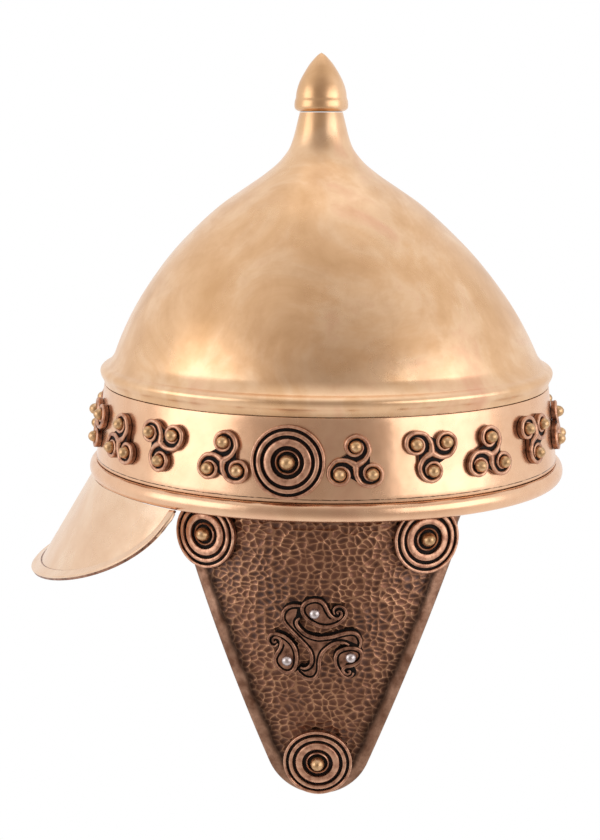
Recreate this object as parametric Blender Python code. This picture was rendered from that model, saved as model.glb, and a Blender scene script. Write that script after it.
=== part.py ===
"""A conical bronze helmet with a knob, a ringed brow band, a neck guard and two hinged cheek guards.

Metres, +Z up. The wearer looks along -Y and the wearer's right is -X. The origin is the centre of
the head opening, in the plane of the rim's lower edge. The cheek guards hang below it.
A flat drawing is laid on a curved wall as (across, up, proud): across runs to the right and proud
runs outwards, both as seen from outside.
"""
import bpy
import bmesh
from math import acos, atan, atan2, cos, hypot, pi, radians, sin, sqrt
from mathutils import Matrix, Vector

# Clearance between neighbouring pieces
GAP = 0.0003

# Brow band, measured over its lower edge
BAND_LENGTH = 0.2280
BAND_WIDTH = 0.2052
BAND_HEIGHT = 0.0371
BAND_FLARE = 0.0048
BAND_SHEET = 0.0010

# Half-round roll along the rim
RIM_HEIGHT = 0.0084
RIM_PROUD = 0.0032
RIM_LAP = 0.0008

# Raised skull: a sheet that is rolled out into a bead over the brow band
SKULL_SHEET = 0.0012
SKULL_RISE = 0.1203
BEAD_HEIGHT = 0.0096
BEAD_PROUD = 0.0054
DOME_INSET = 0.0036
NECK_WIDTH = 0.0206
CROWN_SET_BACK = 0.0022
# The dome's plan turns from oval to round over this part of its rise
ROUNDING_START = 0.36
ROUNDING_SPAN = 0.50

# Turned knob on the neck
KNOB_HEIGHT = 0.0275
KNOB_WIDTH = 0.0258

# Neck guard: a conical apron under the back of the rim
GUARD_REACH = 0.0595
GUARD_SLOPE = radians(59.0)
GUARD_SPREAD = radians(63.0)
GUARD_SHEET = 0.0014
LIP_WIDTH = 0.0065
LIP_FLARE = radians(24.0)
LIP_SHEET = 0.0022
# The lip never takes more than this share of the apron's reach
LIP_SHARE = 0.6
# Where the apron starts on the rim roll, as a turn round the roll's section, and its clearance
GUARD_START = radians(-60.0)
GUARD_CLEARANCE = 0.00035
# The apron's ends are cut just short of its points, by this share of its spread
GUARD_TIPS = 0.985
GUARD_COLUMNS = 20

# Ornaments on the band
MEDALLION_WIDTH = 0.0326
MEDALLION_RISE = -0.0008
MEDALLION_HEIGHT = 0.0034
MEDALLION_BALL = 0.0068
TRISKELE_ARM = 0.0081
LOBE_WIDTH = 0.0116
TRISKELE_HEIGHT = 0.0030
TRISKELE_BALL = 0.0056
TRISKELE_RISE = 0.0003
# Distance of the waist between two lobes, as a share of the arm
TRISKELE_WAIST = 0.42

# Cheek guards, measured from the hinge axis
CHEEK_TURN = radians(6.0)
CHEEK_SHEET = 0.0018
CHEEK_TOP_WIDTH = 0.1330
CHEEK_SHOULDER_WIDTH = 0.1280
CHEEK_SHOULDER_DROP = 0.0200
CHEEK_DROP = 0.1320
CHEEK_NOSE_WIDTH = 0.0490
CHEEK_HEAD = 0.0060
CHEEK_LEAN = radians(9.0)
CHEEK_BEND = radians(15.0)
CHEEK_BORDER = 0.0058
CHEEK_BORDER_RAISE = 0.0005
CHEEK_BORDER_SLOPE = 0.0010
# At the nose the border and its slope leave at least these shares of the half width
NOSE_BORDER_SHARE = 0.35
NOSE_FIELD_SHARE = 0.30
NOSE_CUT = radians(-84.0)
NOSE_STEPS = 4
FLANK_STEPS = 3

# Ringed discs and the three-armed ornament on each cheek guard
DISC_WIDTH = 0.0304
DISC_HEIGHT = 0.0029
DISC_BALL = 0.0062
DISC_INSET = 0.0160
DISC_DROP = 0.0143
DISC_SET_BACK = 0.0022
LOW_DISC_INSET = 0.0168
ORNAMENT_RADIUS = 0.0200
ORNAMENT_HEIGHT = 0.0026
ORNAMENT_DROP = 0.0604
ORNAMENT_BALL = 0.0046

# Hinges inside the rim
HINGE_INSET = 0.0082
HINGE_HEIGHT = 0.0030
HINGE_WIDTH = 0.0360
KNUCKLES = 5
KNUCKLE_WIDTH = 0.0044
PIN_WIDTH = 0.0020
PIN_END = 0.0005
LEAF_HEIGHT = 0.0185
LEAF_SHEET = 0.0012
LEAF_CLEARANCE = 0.0007
LEAF_COLUMNS = 4
# Half depth of the tongues that carry a plate's knuckles, as a share of its sheet
TONGUE_SHARE = 0.45
# How far the leaf's arms sink into it, as a share of its sheet
ARM_SINK = 0.3
# How far a cast ball sinks into its lobe, as a share of the ball
BALL_SINK = 0.1
# Ring that divides a disc's flat back, as a share of its radius
DISC_BACK_RING = 0.45

# How finely round things are divided
ROUND_STEPS = 36
DISC_STEPS = 12
BALL_STEPS = 8
SMALL_BALL_STEPS = 6
BALL_ANGLES = (-18.0, 22.0, 60.0)
LOBE_ANGLES = (-130.0, -78.0, -26.0, 26.0, 78.0, 130.0)
KNUCKLE_STEPS = 8
CHEEK_COLUMNS = 6

# Dome sections: share of the rise, share of the way from the neck's radius to the dome's
DOME_SECTIONS = (
    (0.000, 1.000), (0.110, 0.940), (0.220, 0.866), (0.330, 0.773), (0.440, 0.662),
    (0.550, 0.525), (0.640, 0.394), (0.700, 0.284), (0.760, 0.173), (0.810, 0.099),
    (0.870, 0.046), (1.000, 0.000),
)
# The inner wall ends under the solid neck, and follows every second section
HOLLOW_SECTIONS = range(0, 9, 2)

# Bead sections: share of its height, share of how far it stands proud of the dome's foot
BEAD_SECTIONS = (
    (0.00, 0.62), (0.26, 0.66), (0.42, 0.95), (0.68, 0.97), (0.94, 0.55),
)
# Knob sections: share of its height, share of its half width
KNOB_SECTIONS = (
    (0.000, 0.830), (0.035, 0.950), (0.110, 1.000), (0.260, 0.970), (0.440, 0.860),
    (0.620, 0.680), (0.800, 0.445), (0.930, 0.200),
)
# Ringed disc sections from its rim to its middle: share of its radius, share of its height
DISC_SECTIONS = (
    (1.00, 0.80), (0.94, 1.00), (0.88, 0.50), (0.79, 1.00), (0.69, 0.50),
    (0.55, 1.00), (0.40, 0.50), (0.29, 0.85),
)
# Triskeles between a side medallion and the front or back: share of that way, one arm up or two
TRISKELE_ROW = ((0.000, True), (0.245, False), (0.467, True), (0.708, False))

# One arm of the cheek ornament: across and up as shares of its radius, then its width as a share
ORNAMENT_ARM = (
    (0.03, -0.02, 0.28), (-0.27, 0.12, 0.25), (-0.47, 0.28, 0.26), (-0.58, 0.45, 0.29),
    (-0.57, 0.62, 0.29), (-0.46, 0.74, 0.26), (-0.24, 0.78, 0.20),
)
# The drop-shaped head of one arm: across and up as shares of the ornament's radius
ORNAMENT_HEAD = (
    (-0.31, 0.70), (-0.22, 0.50), (0.02, 0.40), (0.40, 0.43), (0.63, 0.62), (0.60, 0.84),
    (0.44, 0.90), (0.27, 0.70), (0.18, 0.93), (-0.02, 1.02), (-0.23, 0.92),
)
ORNAMENT_BALL_PLACE = (-0.02, 0.72)

# Colours, with roughness; everything here is metal
METALS = {
    "golden_bronze": ((0.70, 0.47, 0.27, 1.0), 0.24),
    "rosy_bronze": ((0.72, 0.45, 0.30, 1.0), 0.26),
    "dark_copper": ((0.17, 0.085, 0.05, 1.0), 0.42),
    "cast_copper": ((0.40, 0.20, 0.14, 1.0), 0.34),
    "aged_brass": ((0.45, 0.32, 0.17, 1.0), 0.30),
    "silver": ((0.62, 0.58, 0.60, 1.0), 0.25),
}

RIGHT = -1
LEFT = 1
SIDES = {"right": RIGHT, "left": LEFT}


def clear_scene():
    """Removes every object, so that only the helmet is left."""
    for thing in list(bpy.data.objects):
        bpy.data.objects.remove(thing, do_unlink=True)


def metal(name):
    """The material of one metal, made once."""
    found = bpy.data.materials.get(name)
    if found:
        return found
    colour, roughness = METALS[name]
    made = bpy.data.materials.new(name)
    made.use_nodes = True
    shader = made.node_tree.nodes["Principled BSDF"]
    shader.inputs["Base Color"].default_value = colour
    shader.inputs["Roughness"].default_value = roughness
    shader.inputs["Metallic"].default_value = 1.0
    return made


def make_object(name, points, faces, metal_name, place=None):
    """An object from points and faces, laid on a wall by place where one is given."""
    mesh = bpy.data.meshes.new(name)
    shape = bmesh.new()
    corners = [shape.verts.new(place(*point) if place else point) for point in points]
    for face in faces:
        shape.faces.new([corners[index] for index in face])
    bmesh.ops.recalc_face_normals(shape, faces=shape.faces)
    shape.to_mesh(mesh)
    shape.free()
    mesh.shade_smooth()
    mesh.set_sharp_from_angle(angle=radians(35.0))
    mesh.materials.append(metal(metal_name))
    made = bpy.data.objects.new(name, mesh)
    bpy.context.scene.collection.objects.link(made)
    return made


def skin_rings(rings, closed):
    """Points and faces of a body through rings of points; an open stack of rings gets two caps."""
    count = len(rings[0])
    points = [point for ring in rings for point in ring]
    faces = []
    spans = len(rings) if closed else len(rings) - 1
    for row in range(spans):
        here = row * count
        there = (row + 1) % len(rings) * count
        for step in range(count):
            after = (step + 1) % count
            faces.append((here + step, here + after, there + after, there + step))
    if not closed:
        faces.append(tuple(range(count)))
        faces.append(tuple(range(len(points) - count, len(points))))
    return points, faces


def skin_sheets(outer, inner):
    """Points and faces of a sheet between two grids of points with the same rows and columns."""
    rows = len(outer)
    columns = len(outer[0])
    points = [point for row in outer for point in row] + [point for row in inner for point in row]
    half = rows * columns
    faces = []
    for row in range(rows - 1):
        for column in range(columns - 1):
            first = row * columns + column
            cell = (first, first + 1, first + columns + 1, first + columns)
            faces.append(cell)
            faces.append(tuple(half + index for index in reversed(cell)))
    edge = list(range(columns))
    edge += [row * columns + columns - 1 for row in range(1, rows)]
    edge += [(rows - 1) * columns + column for column in range(columns - 2, -1, -1)]
    edge += [row * columns for row in range(rows - 2, 0, -1)]
    for here, there in zip(edge, edge[1:] + edge[:1]):
        faces.append((here, there, half + there, half + here))
    return points, faces


def skin_outline(outline, low, high):
    """Points and faces of a flat plate with the given outline, between two heights."""
    return skin_rings([[(x, y, low) for x, y in outline], [(x, y, high) for x, y in outline]], False)


def circle(radius, steps, across=0.0, up=0.0):
    """An outline of a circle, as (across, up)."""
    turns = [2.0 * pi * step / steps for step in range(steps)]
    return [(across + radius * cos(turn), up + radius * sin(turn)) for turn in turns]


def combine(base, tools, operation):
    """Joins the tools to the base, or cuts them from it, and removes them."""
    for tool in tools:
        modifier = base.modifiers.new(operation, "BOOLEAN")
        modifier.operation = operation
        modifier.object = tool
    bpy.context.view_layer.update()
    evaluated = base.evaluated_get(bpy.context.evaluated_depsgraph_get())
    mesh = bpy.data.meshes.new_from_object(evaluated)
    base.modifiers.clear()
    base.data = mesh
    for tool in tools:
        bpy.data.objects.remove(tool, do_unlink=True)
    return base


def oval_point(half_length, half_width, turn, z, set_back=0.0):
    """A point of an oval. Turn runs from the front, by the wearer's right, to the back."""
    return Vector((-half_width * sin(turn), set_back - half_length * cos(turn), z))


def oval_normal(half_length, half_width, turn):
    """The outward direction of an oval in plan."""
    return Vector((-half_length * sin(turn), -half_width * cos(turn), 0.0)).normalized()


def oval_ring(half_length, half_width, z, set_back=0.0):
    """A ring of points round an oval."""
    turns = [2.0 * pi * step / ROUND_STEPS for step in range(ROUND_STEPS)]
    return [oval_point(half_length, half_width, turn, z, set_back) for turn in turns]


def band_axes(z, inside=0.0):
    """Half length and half width of the band's outer face at a height, less a wall inside it."""
    share = max(0.0, (z - RIM_HEIGHT) / BAND_HEIGHT)
    inset = BAND_FLARE * share + inside
    return BAND_LENGTH / 2 - inset, BAND_WIDTH / 2 - inset


def skull_wall(z):
    """Axes of the skull's outer face behind the band and the rim."""
    return band_axes(z, BAND_SHEET + GAP)


def inner_wall(z):
    """Axes of the helmet's inner wall behind the band and the rim."""
    return band_axes(z, BAND_SHEET + GAP + SKULL_SHEET)


BAND_TOP = RIM_HEIGHT + BAND_HEIGHT
DOME_FOOT = BAND_TOP + BEAD_HEIGHT
NECK_TOP = DOME_FOOT + SKULL_RISE
FLARE_ANGLE = atan(BAND_FLARE / BAND_HEIGHT)


def dome_section(share_up, share_out):
    """Half length, half width, height and set-back of the dome's outer face."""
    foot_length, foot_width = band_axes(BAND_TOP, DOME_INSET)
    neck = NECK_WIDTH / 2
    rounding = max(0.0, min(1.0, (share_up - ROUNDING_START) / ROUNDING_SPAN))
    blend = rounding * rounding * (3.0 - 2.0 * rounding)
    ratio = foot_width / foot_length + (1.0 - foot_width / foot_length) * blend
    half_length = neck + (foot_length - neck) * share_out
    set_back = CROWN_SET_BACK * min(1.0, 2.0 * share_up)
    return half_length, half_length * ratio, DOME_FOOT + SKULL_RISE * share_up, set_back


def inward(sections, index, wall):
    """The section of the inner wall, square to the outer face at one section."""
    before = sections[max(0, index - 1)]
    after = sections[min(len(sections) - 1, index + 1)]
    run = after[2] - before[2]
    draw = before[0] - after[0]
    length = hypot(run, draw)
    half_length, half_width, z, set_back = sections[index]
    across = wall * run / length
    return half_length - across, half_width - across, z - wall * draw / length, set_back


def make_skull():
    """The raised skull: dome, bead and the wall behind the band, with a solid neck."""
    dome = [dome_section(*row) for row in DOME_SECTIONS]
    foot_length, foot_width = dome[0][0], dome[0][1]
    outer = [(*skull_wall(z), z, 0.0) for z in (0.0, RIM_HEIGHT, BAND_TOP)]
    for share_up, share_out in BEAD_SECTIONS:
        proud = BEAD_PROUD * share_out
        z = BAND_TOP + GAP + (BEAD_HEIGHT - GAP) * share_up
        outer.append((foot_length + proud, foot_width + proud, z, 0.0))
    outer += dome
    inner = [(*inner_wall(z), z, 0.0) for z in (0.0, RIM_HEIGHT, BAND_TOP - SKULL_SHEET)]
    inner += [inward(dome, index, SKULL_SHEET) for index in HOLLOW_SECTIONS]
    rings = [oval_ring(*section) for section in reversed(inner)]
    rings += [oval_ring(*section) for section in outer]
    return make_object("skull", *skin_rings(rings, False), "golden_bronze")


def make_knob():
    """The pointed knob, seated on the neck."""
    rings = []
    foot = NECK_TOP + GAP
    for share_up, share_out in KNOB_SECTIONS:
        radius = KNOB_WIDTH / 2 * share_out
        z = foot + KNOB_HEIGHT * share_up
        turns = [2.0 * pi * step / DISC_STEPS for step in range(DISC_STEPS)]
        rings.append([Vector((radius * cos(t), CROWN_SET_BACK + radius * sin(t), z)) for t in turns])
    points, faces = skin_rings(rings, False)
    top = faces.pop()
    tip = len(points)
    points.append(Vector((0.0, CROWN_SET_BACK, foot + KNOB_HEIGHT)))
    faces += [(here, there, tip) for here, there in zip(top, top[1:] + top[:1])]
    return make_object("knob", points, faces, "golden_bronze")


def make_band():
    """The plain brow band round the skull."""
    bottom = RIM_HEIGHT + GAP / 2
    top = BAND_TOP - GAP / 2
    sections = [(band_axes(z, inside), z) for inside, z in (
        (0.0, bottom), (0.0, top), (BAND_SHEET, top), (BAND_SHEET, bottom))]
    rings = [oval_ring(*axes, z) for axes, z in sections]
    return make_object("brow_band", *skin_rings(rings, True), "rosy_bronze")


def roll_point(turn):
    """Offset from the band's face, and height, on the rim roll's outer face."""
    half = (RIM_HEIGHT - GAP / 2) / 2
    return RIM_PROUD * cos(turn), half + half * sin(turn)


def make_rim():
    """The half-round roll along the helmet's lower edge."""
    turns = [radians(angle) for angle in (-90.0, -50.0, -10.0, 35.0, 90.0)]
    sections = [roll_point(turn) for turn in turns]
    sections += [(-RIM_LAP, sections[-1][1]), (-RIM_LAP, 0.0)]
    rings = []
    for offset, z in sections:
        half_length, half_width = BAND_LENGTH / 2 + offset, BAND_WIDTH / 2 + offset
        rings.append(oval_ring(half_length, half_width, z))
    return make_object("rim_roll", *skin_rings(rings, True), "rosy_bronze")


def neck_guard_point(turn, down, proud):
    """A point of the apron: turn from the back, way down its slope, height over its face."""
    offset, z = roll_point(GUARD_START)
    lean = atan2(sin(GUARD_START) / RIM_HEIGHT * 2, cos(GUARD_START) / RIM_PROUD)
    offset += GUARD_CLEARANCE * cos(lean)
    z += GUARD_CLEARANCE * sin(lean)
    half_length, half_width = BAND_LENGTH / 2 + offset, BAND_WIDTH / 2 + offset
    base = oval_point(half_length, half_width, pi + turn, z)
    normal = oval_normal(half_length, half_width, pi + turn)
    along = Vector((0.0, 0.0, -sin(GUARD_SLOPE))) + normal * cos(GUARD_SLOPE)
    face = Vector((0.0, 0.0, cos(GUARD_SLOPE))) + normal * sin(GUARD_SLOPE)
    return base + along * down + face * proud


def neck_guard_reach(turn):
    """How far down its slope the apron reaches at a turn from the back."""
    share = turn / GUARD_SPREAD
    return GUARD_REACH * sqrt(max(0.0, 1.0 - share * share))


def make_neck_guard():
    """The apron behind the neck, with a flared lip along its edge."""
    outer = []
    inner = []
    for step in range(GUARD_COLUMNS + 1):
        turn = GUARD_SPREAD * GUARD_TIPS * sin(pi / 2 * (2.0 * step / GUARD_COLUMNS - 1.0))
        reach = neck_guard_reach(turn)
        lip = min(LIP_WIDTH, LIP_SHARE * reach)
        plain = reach - lip
        rise = lip * sin(LIP_FLARE)
        ahead = plain + lip * cos(LIP_FLARE)
        faces = ((0.0, 0.0, GUARD_SHEET), (plain, 0.0, GUARD_SHEET), (ahead, rise, LIP_SHEET))
        outer.append([neck_guard_point(turn, down, proud) for down, proud, _ in faces])
        inner.append([neck_guard_point(turn, down, proud - wall) for down, proud, wall in faces])
    return make_object("neck_guard", *skin_sheets(outer, inner), "golden_bronze")


def quarter_arc():
    """Length of the band's middle line from a side to the front."""
    half_length, half_width = band_axes(RIM_HEIGHT + BAND_HEIGHT / 2)
    steps = 90
    turns = [pi / 2 * (step + 0.5) / steps for step in range(steps)]
    return sum(hypot(half_width * cos(t), half_length * sin(t)) for t in turns) * pi / 2 / steps


def turn_after(arc):
    """Turn from a side, along the band's middle line, after an arc towards the front."""
    half_length, half_width = band_axes(RIM_HEIGHT + BAND_HEIGHT / 2)
    turn = 0.0
    steps = 90
    for _ in range(steps):
        middle = turn + arc / steps / half_length / 2
        turn += arc / steps / hypot(half_width * sin(middle), half_length * cos(middle))
    return turn


def on_band(turn, height):
    """Lays a flat drawing on the band round one place."""
    def place(across, up, proud):
        z = height + up * cos(FLARE_ANGLE)
        half_length, half_width = band_axes(z)
        pace = hypot(half_width * cos(turn), half_length * sin(turn))
        here = turn - across / pace
        normal = oval_normal(half_length, half_width, here) * cos(FLARE_ANGLE)
        normal.z = sin(FLARE_ANGLE)
        return oval_point(half_length, half_width, here, z) + normal * proud
    return place


class CheekFrame:
    """Where one cheek guard hangs: its hinge axis and its curved face."""

    def __init__(self, side):
        half_length, half_width = inner_wall(HINGE_HEIGHT)
        outward = Vector((side * cos(CHEEK_TURN), -sin(CHEEK_TURN), 0.0))
        reach = hypot(half_length * sin(CHEEK_TURN), half_width * cos(CHEEK_TURN))
        wall = Vector((side * half_width ** 2 * cos(CHEEK_TURN) / reach,
                       -half_length ** 2 * sin(CHEEK_TURN) / reach, HINGE_HEIGHT))
        self.outward = outward
        self.across = (-outward).cross(Vector((0.0, 0.0, 1.0)))
        self.axis = wall - outward * HINGE_INSET
        self.radius = (half_length * half_width) ** 2 / reach ** 3 - HINGE_INSET

    def on_axis(self, across, up, proud):
        """A point square to the hinge axis."""
        return self.axis + self.across * across + self.outward * proud + Vector((0.0, 0.0, up))

    def on_face(self, across, up, proud):
        """A point over the guard's outer face. Up is from the axis, along the face."""
        turn = across / self.radius
        down = -up
        tilt = CHEEK_LEAN - CHEEK_BEND * max(0.0, down) / CHEEK_DROP
        mean = (CHEEK_LEAN + tilt) / 2
        sideways = self.across * (self.radius * sin(turn))
        bulge = CHEEK_SHEET / 2 - self.radius * (1.0 - cos(turn)) + down * sin(mean)
        base = self.axis + sideways + self.outward * bulge
        base.z -= down * cos(mean)
        normal = (self.outward * cos(turn) + self.across * sin(turn)) * cos(tilt)
        normal.z = sin(tilt)
        return base + normal * proud


def cheek_rows():
    """Rows of the plate's outline, from its head to its nose: way down, half width."""
    nose = CHEEK_NOSE_WIDTH / 2
    centre = CHEEK_DROP - nose
    shoulder = (CHEEK_SHOULDER_WIDTH / 2, centre - CHEEK_SHOULDER_DROP)
    reach = hypot(*shoulder)
    tangent = atan2(shoulder[1], shoulder[0]) - acos(nose / reach)
    low = (centre - nose * sin(tangent), nose * cos(tangent))
    rows = [(-CHEEK_HEAD, CHEEK_TOP_WIDTH / 2)]
    for step in range(FLANK_STEPS):
        share = step / FLANK_STEPS
        down = CHEEK_SHOULDER_DROP + (low[0] - CHEEK_SHOULDER_DROP) * share
        rows.append((down, shoulder[0] + (low[1] - shoulder[0]) * share))
    for step in range(NOSE_STEPS + 1):
        turn = tangent + (NOSE_CUT - tangent) * step / NOSE_STEPS
        rows.append((centre - nose * sin(turn), nose * cos(turn)))
    return rows


def make_cheek_plate(name, frame):
    """The hammered plate with a raised border and its own two hinge knuckles."""
    outer = []
    inner = []
    field_end = CHEEK_DROP - CHEEK_BORDER
    for down, half in cheek_rows():
        border = max(half * NOSE_BORDER_SHARE, half - CHEEK_BORDER)
        field = max(half * NOSE_FIELD_SHARE, border - CHEEK_BORDER_SLOPE)
        level = CHEEK_BORDER_RAISE if down > field_end else 0.0
        row = [(-half, CHEEK_BORDER_RAISE), (-border, CHEEK_BORDER_RAISE)]
        row += [(field * (2.0 * step / CHEEK_COLUMNS - 1.0), level) for step in range(CHEEK_COLUMNS + 1)]
        row += [(border, CHEEK_BORDER_RAISE), (half, CHEEK_BORDER_RAISE)]
        outer.append([frame.on_face(across, -down, raised) for across, raised in row])
        inner.append([frame.on_face(across, -down, -CHEEK_SHEET) for across, _ in row])
    plate = make_object(name, *skin_sheets(outer, inner), "dark_copper")
    clear = KNUCKLE_WIDTH / 2 + 2 * GAP
    side = HINGE_WIDTH / 2 + 2 * GAP
    notch = block("notch", frame, (-side, side), (-clear, CHEEK_HEAD + clear), (-clear * 2, clear * 2))
    combine(plate, [notch], "DIFFERENCE")
    parts = []
    for index in range(1, KNUCKLES, 2):
        low, high = knuckle_span(index)
        parts.append(make_tube(frame, low, high))
        tongue = (-CHEEK_SHEET * TONGUE_SHARE, CHEEK_SHEET * TONGUE_SHARE)
        ends = (-clear - 2 * CHEEK_SHEET, -(PIN_WIDTH / 2 + 2 * GAP))
        parts.append(block("tongue", frame, (low + GAP, high - GAP), ends, tongue))
    return combine(plate, parts, "UNION")


def block(name, frame, across, up, proud):
    """A plain block between limits square to a hinge axis."""
    outline = [(across[0], up[0]), (across[1], up[0]), (across[1], up[1]), (across[0], up[1])]
    return make_object(name, *skin_outline(outline, *proud), "dark_copper", frame.on_axis)


def knuckle_span(index):
    """Limits of one hinge knuckle along its axis."""
    step = (HINGE_WIDTH + GAP) / KNUCKLES
    low = -HINGE_WIDTH / 2 + index * step
    return low, low + step - GAP


def make_tube(frame, low, high):
    """A hinge knuckle: a short tube round the pin."""
    rings = []
    bore = PIN_WIDTH / 2 + GAP
    for radius, across in ((bore, low), (KNUCKLE_WIDTH / 2, low), (KNUCKLE_WIDTH / 2, high), (bore, high)):
        rings.append([(across, x, y) for x, y in circle(radius, KNUCKLE_STEPS)])
    return make_object("tube", *skin_rings(rings, True), "dark_copper", frame.on_axis)


def make_hinge(side_name, frame):
    """The leaf on the inner wall with its three knuckles, and the pin."""
    centre = atan2(-frame.axis.x, -frame.axis.y)
    low = HINGE_HEIGHT - KNUCKLE_WIDTH / 3
    outer = []
    inner = []
    for z in (low, RIM_HEIGHT, low + LEAF_HEIGHT):
        half_length, half_width = inner_wall(z)
        middle = atan2(sin(centre) / half_width, cos(centre) / half_length)
        rows = ([], [])
        for step in range(LEAF_COLUMNS + 1):
            across = HINGE_WIDTH * (step / LEAF_COLUMNS - 0.5)
            turn = middle - across / hypot(half_width * cos(middle), half_length * sin(middle))
            for row, depth in zip(rows, (LEAF_CLEARANCE, LEAF_CLEARANCE + LEAF_SHEET)):
                row.append(oval_point(half_length - depth, half_width - depth, turn, z))
        outer.append(rows[0])
        inner.append(rows[1])
    leaf = make_object("hinge_leaf_" + side_name, *skin_sheets(outer, inner), "rosy_bronze")
    parts = []
    for index in range(0, KNUCKLES, 2):
        span = knuckle_span(index)
        parts.append(make_tube(frame, *span))
        deep = HINGE_INSET - LEAF_CLEARANCE - LEAF_SHEET * (1.0 - ARM_SINK)
        bulge = frame.radius * (1.0 - cos(max(abs(span[0]), abs(span[1])) / frame.radius))
        reach = (PIN_WIDTH / 2 + 2 * GAP, deep - bulge if index != KNUCKLES // 2 else deep)
        width = (span[0] + GAP, span[1] - GAP)
        parts.append(block("arm", frame, width, (low - HINGE_HEIGHT + GAP, KNUCKLE_WIDTH / 3), reach))
    combine(leaf, parts, "UNION")
    half = HINGE_WIDTH / 2 + PIN_END
    ends = [[(end, x, y) for x, y in circle(PIN_WIDTH / 2, KNUCKLE_STEPS)] for end in (-half, half)]
    points, faces = skin_rings(ends, False)
    make_object("hinge_pin_" + side_name, points, faces, "aged_brass", frame.on_axis)


def make_disc(name, width, height, lift, place):
    """A cast disc of rings within rings."""
    radius = width / 2
    rings = [[(x, y, lift) for x, y in circle(radius * share, DISC_STEPS)] for share in (DISC_BACK_RING, 1.0)]
    for share_out, share_up in DISC_SECTIONS:
        rings.append([(x, y, lift + height * share_up) for x, y in circle(radius * share_out, DISC_STEPS)])
    return make_object(name, *skin_rings(rings, False), "cast_copper", place)


def make_ball(name, width, foot, metal_name, place, steps=BALL_STEPS):
    """A round-headed rivet whose head stands on its seat."""
    radius = width / 2
    rings = []
    for angle in BALL_ANGLES:
        turn = radians(angle)
        height = foot + radius * (sin(turn) - sin(radians(BALL_ANGLES[0])))
        rings.append([(x, y, height) for x, y in circle(radius * cos(turn), steps)])
    return make_object(name, *skin_rings(rings, False), metal_name, place)


def shifted(place, across, up):
    """Moves a drawing sideways and up before it is laid on a wall."""
    return lambda x, y, proud: place(x + across, y + up, proud)


def triskele_mesh():
    """Three round lobes joined at a narrow middle, each with a ball, drawn flat with one arm up."""
    outline = []
    for arm in range(3):
        turn = pi / 2 + arm * 2.0 * pi / 3
        for swing in LOBE_ANGLES:
            aim = turn + radians(swing)
            outline.append((TRISKELE_ARM * cos(turn) + LOBE_WIDTH / 2 * cos(aim),
                            TRISKELE_ARM * sin(turn) + LOBE_WIDTH / 2 * sin(aim)))
        waist = TRISKELE_ARM * TRISKELE_WAIST
        outline.append((waist * cos(turn + pi / 3), waist * sin(turn + pi / 3)))
    body = make_object("body", *skin_outline(outline, GAP, GAP + TRISKELE_HEIGHT), "cast_copper")
    balls = []
    for arm in range(3):
        turn = pi / 2 + arm * 2.0 * pi / 3
        seat = GAP + TRISKELE_HEIGHT - TRISKELE_BALL * BALL_SINK
        flat = shifted(lambda x, y, z: (x, y, z), TRISKELE_ARM * cos(turn), TRISKELE_ARM * sin(turn))
        balls.append(make_ball("ball", TRISKELE_BALL, seat, "cast_copper", flat, SMALL_BALL_STEPS))
    combine(body, balls, "UNION")
    points = [tuple(vertex.co) for vertex in body.data.vertices]
    faces = [tuple(face.vertices) for face in body.data.polygons]
    bpy.data.objects.remove(body, do_unlink=True)
    return points, faces


def make_triskeles():
    """Eighteen triskeles: four in each quarter, one at the front and one at the back."""
    points, faces = triskele_mesh()
    beside = TRISKELE_ARM * cos(radians(30.0)) + LOBE_WIDTH / 2
    first = MEDALLION_WIDTH / 2 + GAP + beside
    middle = RIM_HEIGHT + BAND_HEIGHT / 2 + TRISKELE_RISE
    spots = []
    for share, one_up in TRISKELE_ROW:
        turn = turn_after(first + (quarter_arc() - first) * share)
        for centre in (pi / 2, 3.0 * pi / 2):
            spots += [(centre - turn, one_up), (centre + turn, one_up)]
    spots += [(0.0, True), (pi, True)]
    for number, (turn, one_up) in enumerate(sorted(spots), 1):
        sense = 1.0 if one_up else -1.0
        height = middle - sense * TRISKELE_ARM / 4
        place = on_band(turn, height)
        turned = [(sense * x, sense * y, z) for x, y, z in points]
        make_object(f"triskele_{number:02d}", turned, faces, "cast_copper", place)


def make_medallions():
    """A ringed disc with a ball in the middle of each side of the band."""
    height = RIM_HEIGHT + BAND_HEIGHT / 2 + MEDALLION_RISE
    for side_name, side in SIDES.items():
        place = on_band(pi / 2 if side == RIGHT else 3.0 * pi / 2, height)
        make_disc("medallion_" + side_name, MEDALLION_WIDTH, MEDALLION_HEIGHT, GAP, place)
        seat = 2 * GAP + MEDALLION_HEIGHT * DISC_SECTIONS[-1][1]
        make_ball("medallion_ball_" + side_name, MEDALLION_BALL, seat, "aged_brass", place)


def ornament_mesh():
    """Three curling arms with drop-shaped heads, drawn flat."""
    pieces = []
    for arm in range(3):
        turn = Matrix.Rotation(arm * 2.0 * pi / 3, 2)
        middles = [turn @ Vector(row[:2]) * ORNAMENT_RADIUS for row in ORNAMENT_ARM]
        left = []
        right = []
        for index, middle in enumerate(middles):
            before = middles[max(0, index - 1)]
            after = middles[min(len(middles) - 1, index + 1)]
            aside = (after - before).orthogonal().normalized()
            half = ORNAMENT_RADIUS * ORNAMENT_ARM[index][2] / 2
            left.append(tuple(middle + aside * half))
            right.append(tuple(middle - aside * half))
        head = [tuple(turn @ Vector(spot) * ORNAMENT_RADIUS) for spot in ORNAMENT_HEAD]
        for outline in (left + right[::-1], head):
            body = skin_outline(outline, GAP, GAP + ORNAMENT_HEIGHT)
            pieces.append(make_object("limb", *body, "dark_copper"))
    body = combine(pieces[0], pieces[1:], "UNION")
    points = [tuple(vertex.co) for vertex in body.data.vertices]
    faces = [tuple(face.vertices) for face in body.data.polygons]
    bpy.data.objects.remove(body, do_unlink=True)
    return points, faces


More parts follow.
